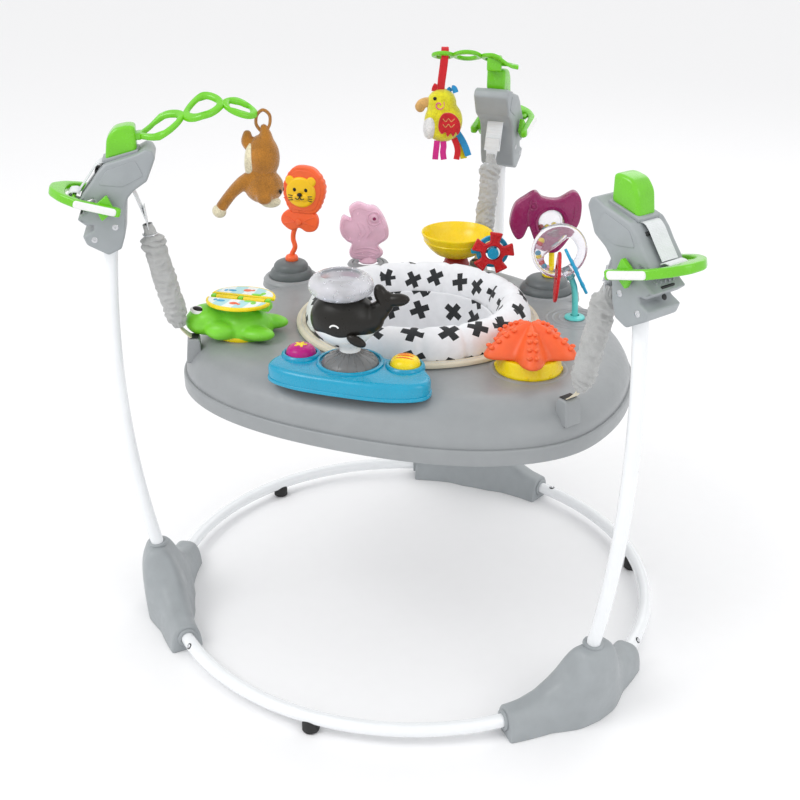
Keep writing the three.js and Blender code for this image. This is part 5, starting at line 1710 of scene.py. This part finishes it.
fur = fused(monkey["voxel"], 6, ball(25, 20, 34, 5, 0, 789), ball(30, 24, 26, 4, 0, 745),
            ball(12, 6, 10, 6, -22, 732), ball(10, 8, 9, 4, 22, 732),
            tapered([(-6, -4, 764), (-26, -6, 752), (-44, -6, 736), (-60, -6, 716)], [11, 11, 9, 9]),
            tapered([(-10, 2, 800), (-19, 0, 811), (-17, 0, 822)], [9, 8, 7]),
            tapered([(10, 0, 810), (10, 0, 822), (8, 0, 832)], [13, 10, 6]))
furry = piece("monkey_fur", fur, monkey["at"], look["brown"], "monkey", ["monkey_plush"],
              crease=0)
belly = fused(monkey["voxel"], 5, ball(9, 12, 27, -14, -4, 786, 6), ball(16, 10, 9, 14, -8, 723))
piece("monkey_belly", belly, monkey["at"], look["cream"], "monkey", crease=0)
piece("monkey_hand", ball(11, 9.5, 10, -65, -6, 708, 30), monkey["at"], look["cream"], "monkey",
      crease=0)
face = [ball(2.4, 2.4, 3.6, 31 + s, -8 + 8 * s, 741, rings=10) for s in (-1, 1)]
piece("monkey_eyes", merged(*face), monkey["at"], look["black"], "monkey")
loopLine = smoothLine([(3, 0, 828), (-3, -1, 838), (-1, 0, 851), (8, 0, 858), (17, 0, 851), (17, 1, 838),
                       (12, 0, 828)], 60)
piece("monkey_loop", strip(loopLine, 8, 4.4, corner=2.0), monkey["at"], look["brown"], "monkey")

parrot = {"at": spot(-90, 380, 0, 22)}
feathers = fused(monkey["voxel"], 6, ball(27, 20, 27, 0, 0, 783), ball(35, 21, 38, 4, 0, 752))
pet = piece("parrot_body", feathers, parrot["at"], look["plushYellow"], "parrot",
            ["parrot_plush"], crease=0)
beak = fused(1.5, 4, ball(17, 9, 9, -29, 0, 785, -10), ball(9, 7, 10, -39, 0, 777, -30))
piece("parrot_beak", beak, parrot["at"], look["plushTan"], "parrot", crease=0)
wing = smoothLine([(4, 770), (20, 769), (32, 756), (34, 740), (29, 731), (26, 736), (21, 728), (17, 734),
                   (11, 728), (7, 736), (0, 733),
                   (-6, 744), (-4, 760)], 90, closed=True)
flap = plate(wing, 7, 2.6)
flap.transform(Matrix.Translation((0, -20.5, 0)))
scallops = [relief([(2, 761 - 10 * k), (7, 756 - 10 * k), (12, 761 - 10 * k), (17, 756 - 10 * k),
                    (23, 761 - 10 * k)], -24.2, 0.6, 40)
            for k in range(2)]
piece("parrot_wing", flap, parrot["at"], look["plushRed"], "parrot", crease=50)
piece("parrot_stitches", merged(*scallops), parrot["at"], look["plushTan"], "parrot")
piece("parrot_chest", ball(15, 18, 27, -17, -1, 746, 14), parrot["at"], look["plushWhite"], "parrot",
      crease=0)
cheek = [(-5 + (2 + 1.1 * t) * math.cos(t), -19.6 + 0.012 * (2 + 1.1 * t) ** 2,
          784 + (2 + 1.1 * t) * math.sin(t))
         for t in np.linspace(0, 2.2 * math.pi, 50)]
piece("parrot_cheek", sweep(cheek, 1.2, 8), parrot["at"], look["plushPink"], "parrot")
piece("parrot_eye", ball(3.2, 2, 3.2, -13, -16.8, 795, rings=12), parrot["at"], look["black"], "parrot")
ribbons = {
    "crest": ("redRibbon", [(-14, -3, 806), (-13, -5, 812), (-9, -5, 817), (-4, -3, 815), (-3, -1, 808)], 10),
    "crestBlue": ("blueRibbon", [(12, -2, 806), (17, -3, 811), (22, -4, 810), (25, -4, 803)], 10),
    "legLeft": ("pinkRibbon", [(-7, -8, 718), (-8, -10, 708), (-9, -10, 698), (-10, -9, 684)], 11),
    "legRight": ("pinkRibbon", [(4, -8, 717), (5, -10, 708), (4, -11, 698), (6, -10, 684)], 11),
    "tailRed": ("redRibbon", [(24, -7, 722), (29, -8, 710), (31, -9, 698), (29, -9, 684)], 11),
    "tailBlue": ("blueRibbon", [(30, -3, 731), (39, -5, 718), (46, -6, 704), (51, -6, 690)], 12),
    "tailYellow": ("plushYellow", [(27, 1, 727), (35, -1, 712), (40, -2, 698), (43, -2, 684)], 12),
}
for name, (colour, points, width) in ribbons.items():
    line = smoothLine(points, 26)
    band = piece(f"parrot_ribbon_{name}", strip(line, width, 1.1, (1, 0, 0.4), corner=0.4), parrot["at"],
                 look[colour], "parrot")
loopLine = smoothLine([(-2, -3, 806), (-1, -8, 822), (2, -10, 848), (4, -9, 871), (4, 0, 881), (4, 9, 871),
                       (2, 10, 848),
                       (-1, 8, 822), (-2, 3, 806)], 70)
piece("parrot_loop", strip(loopLine, 13, 1.8, (1, 0, 0), corner=0.8), parrot["at"], look["redRibbon"],
      "parrot")
print("plush toys made")
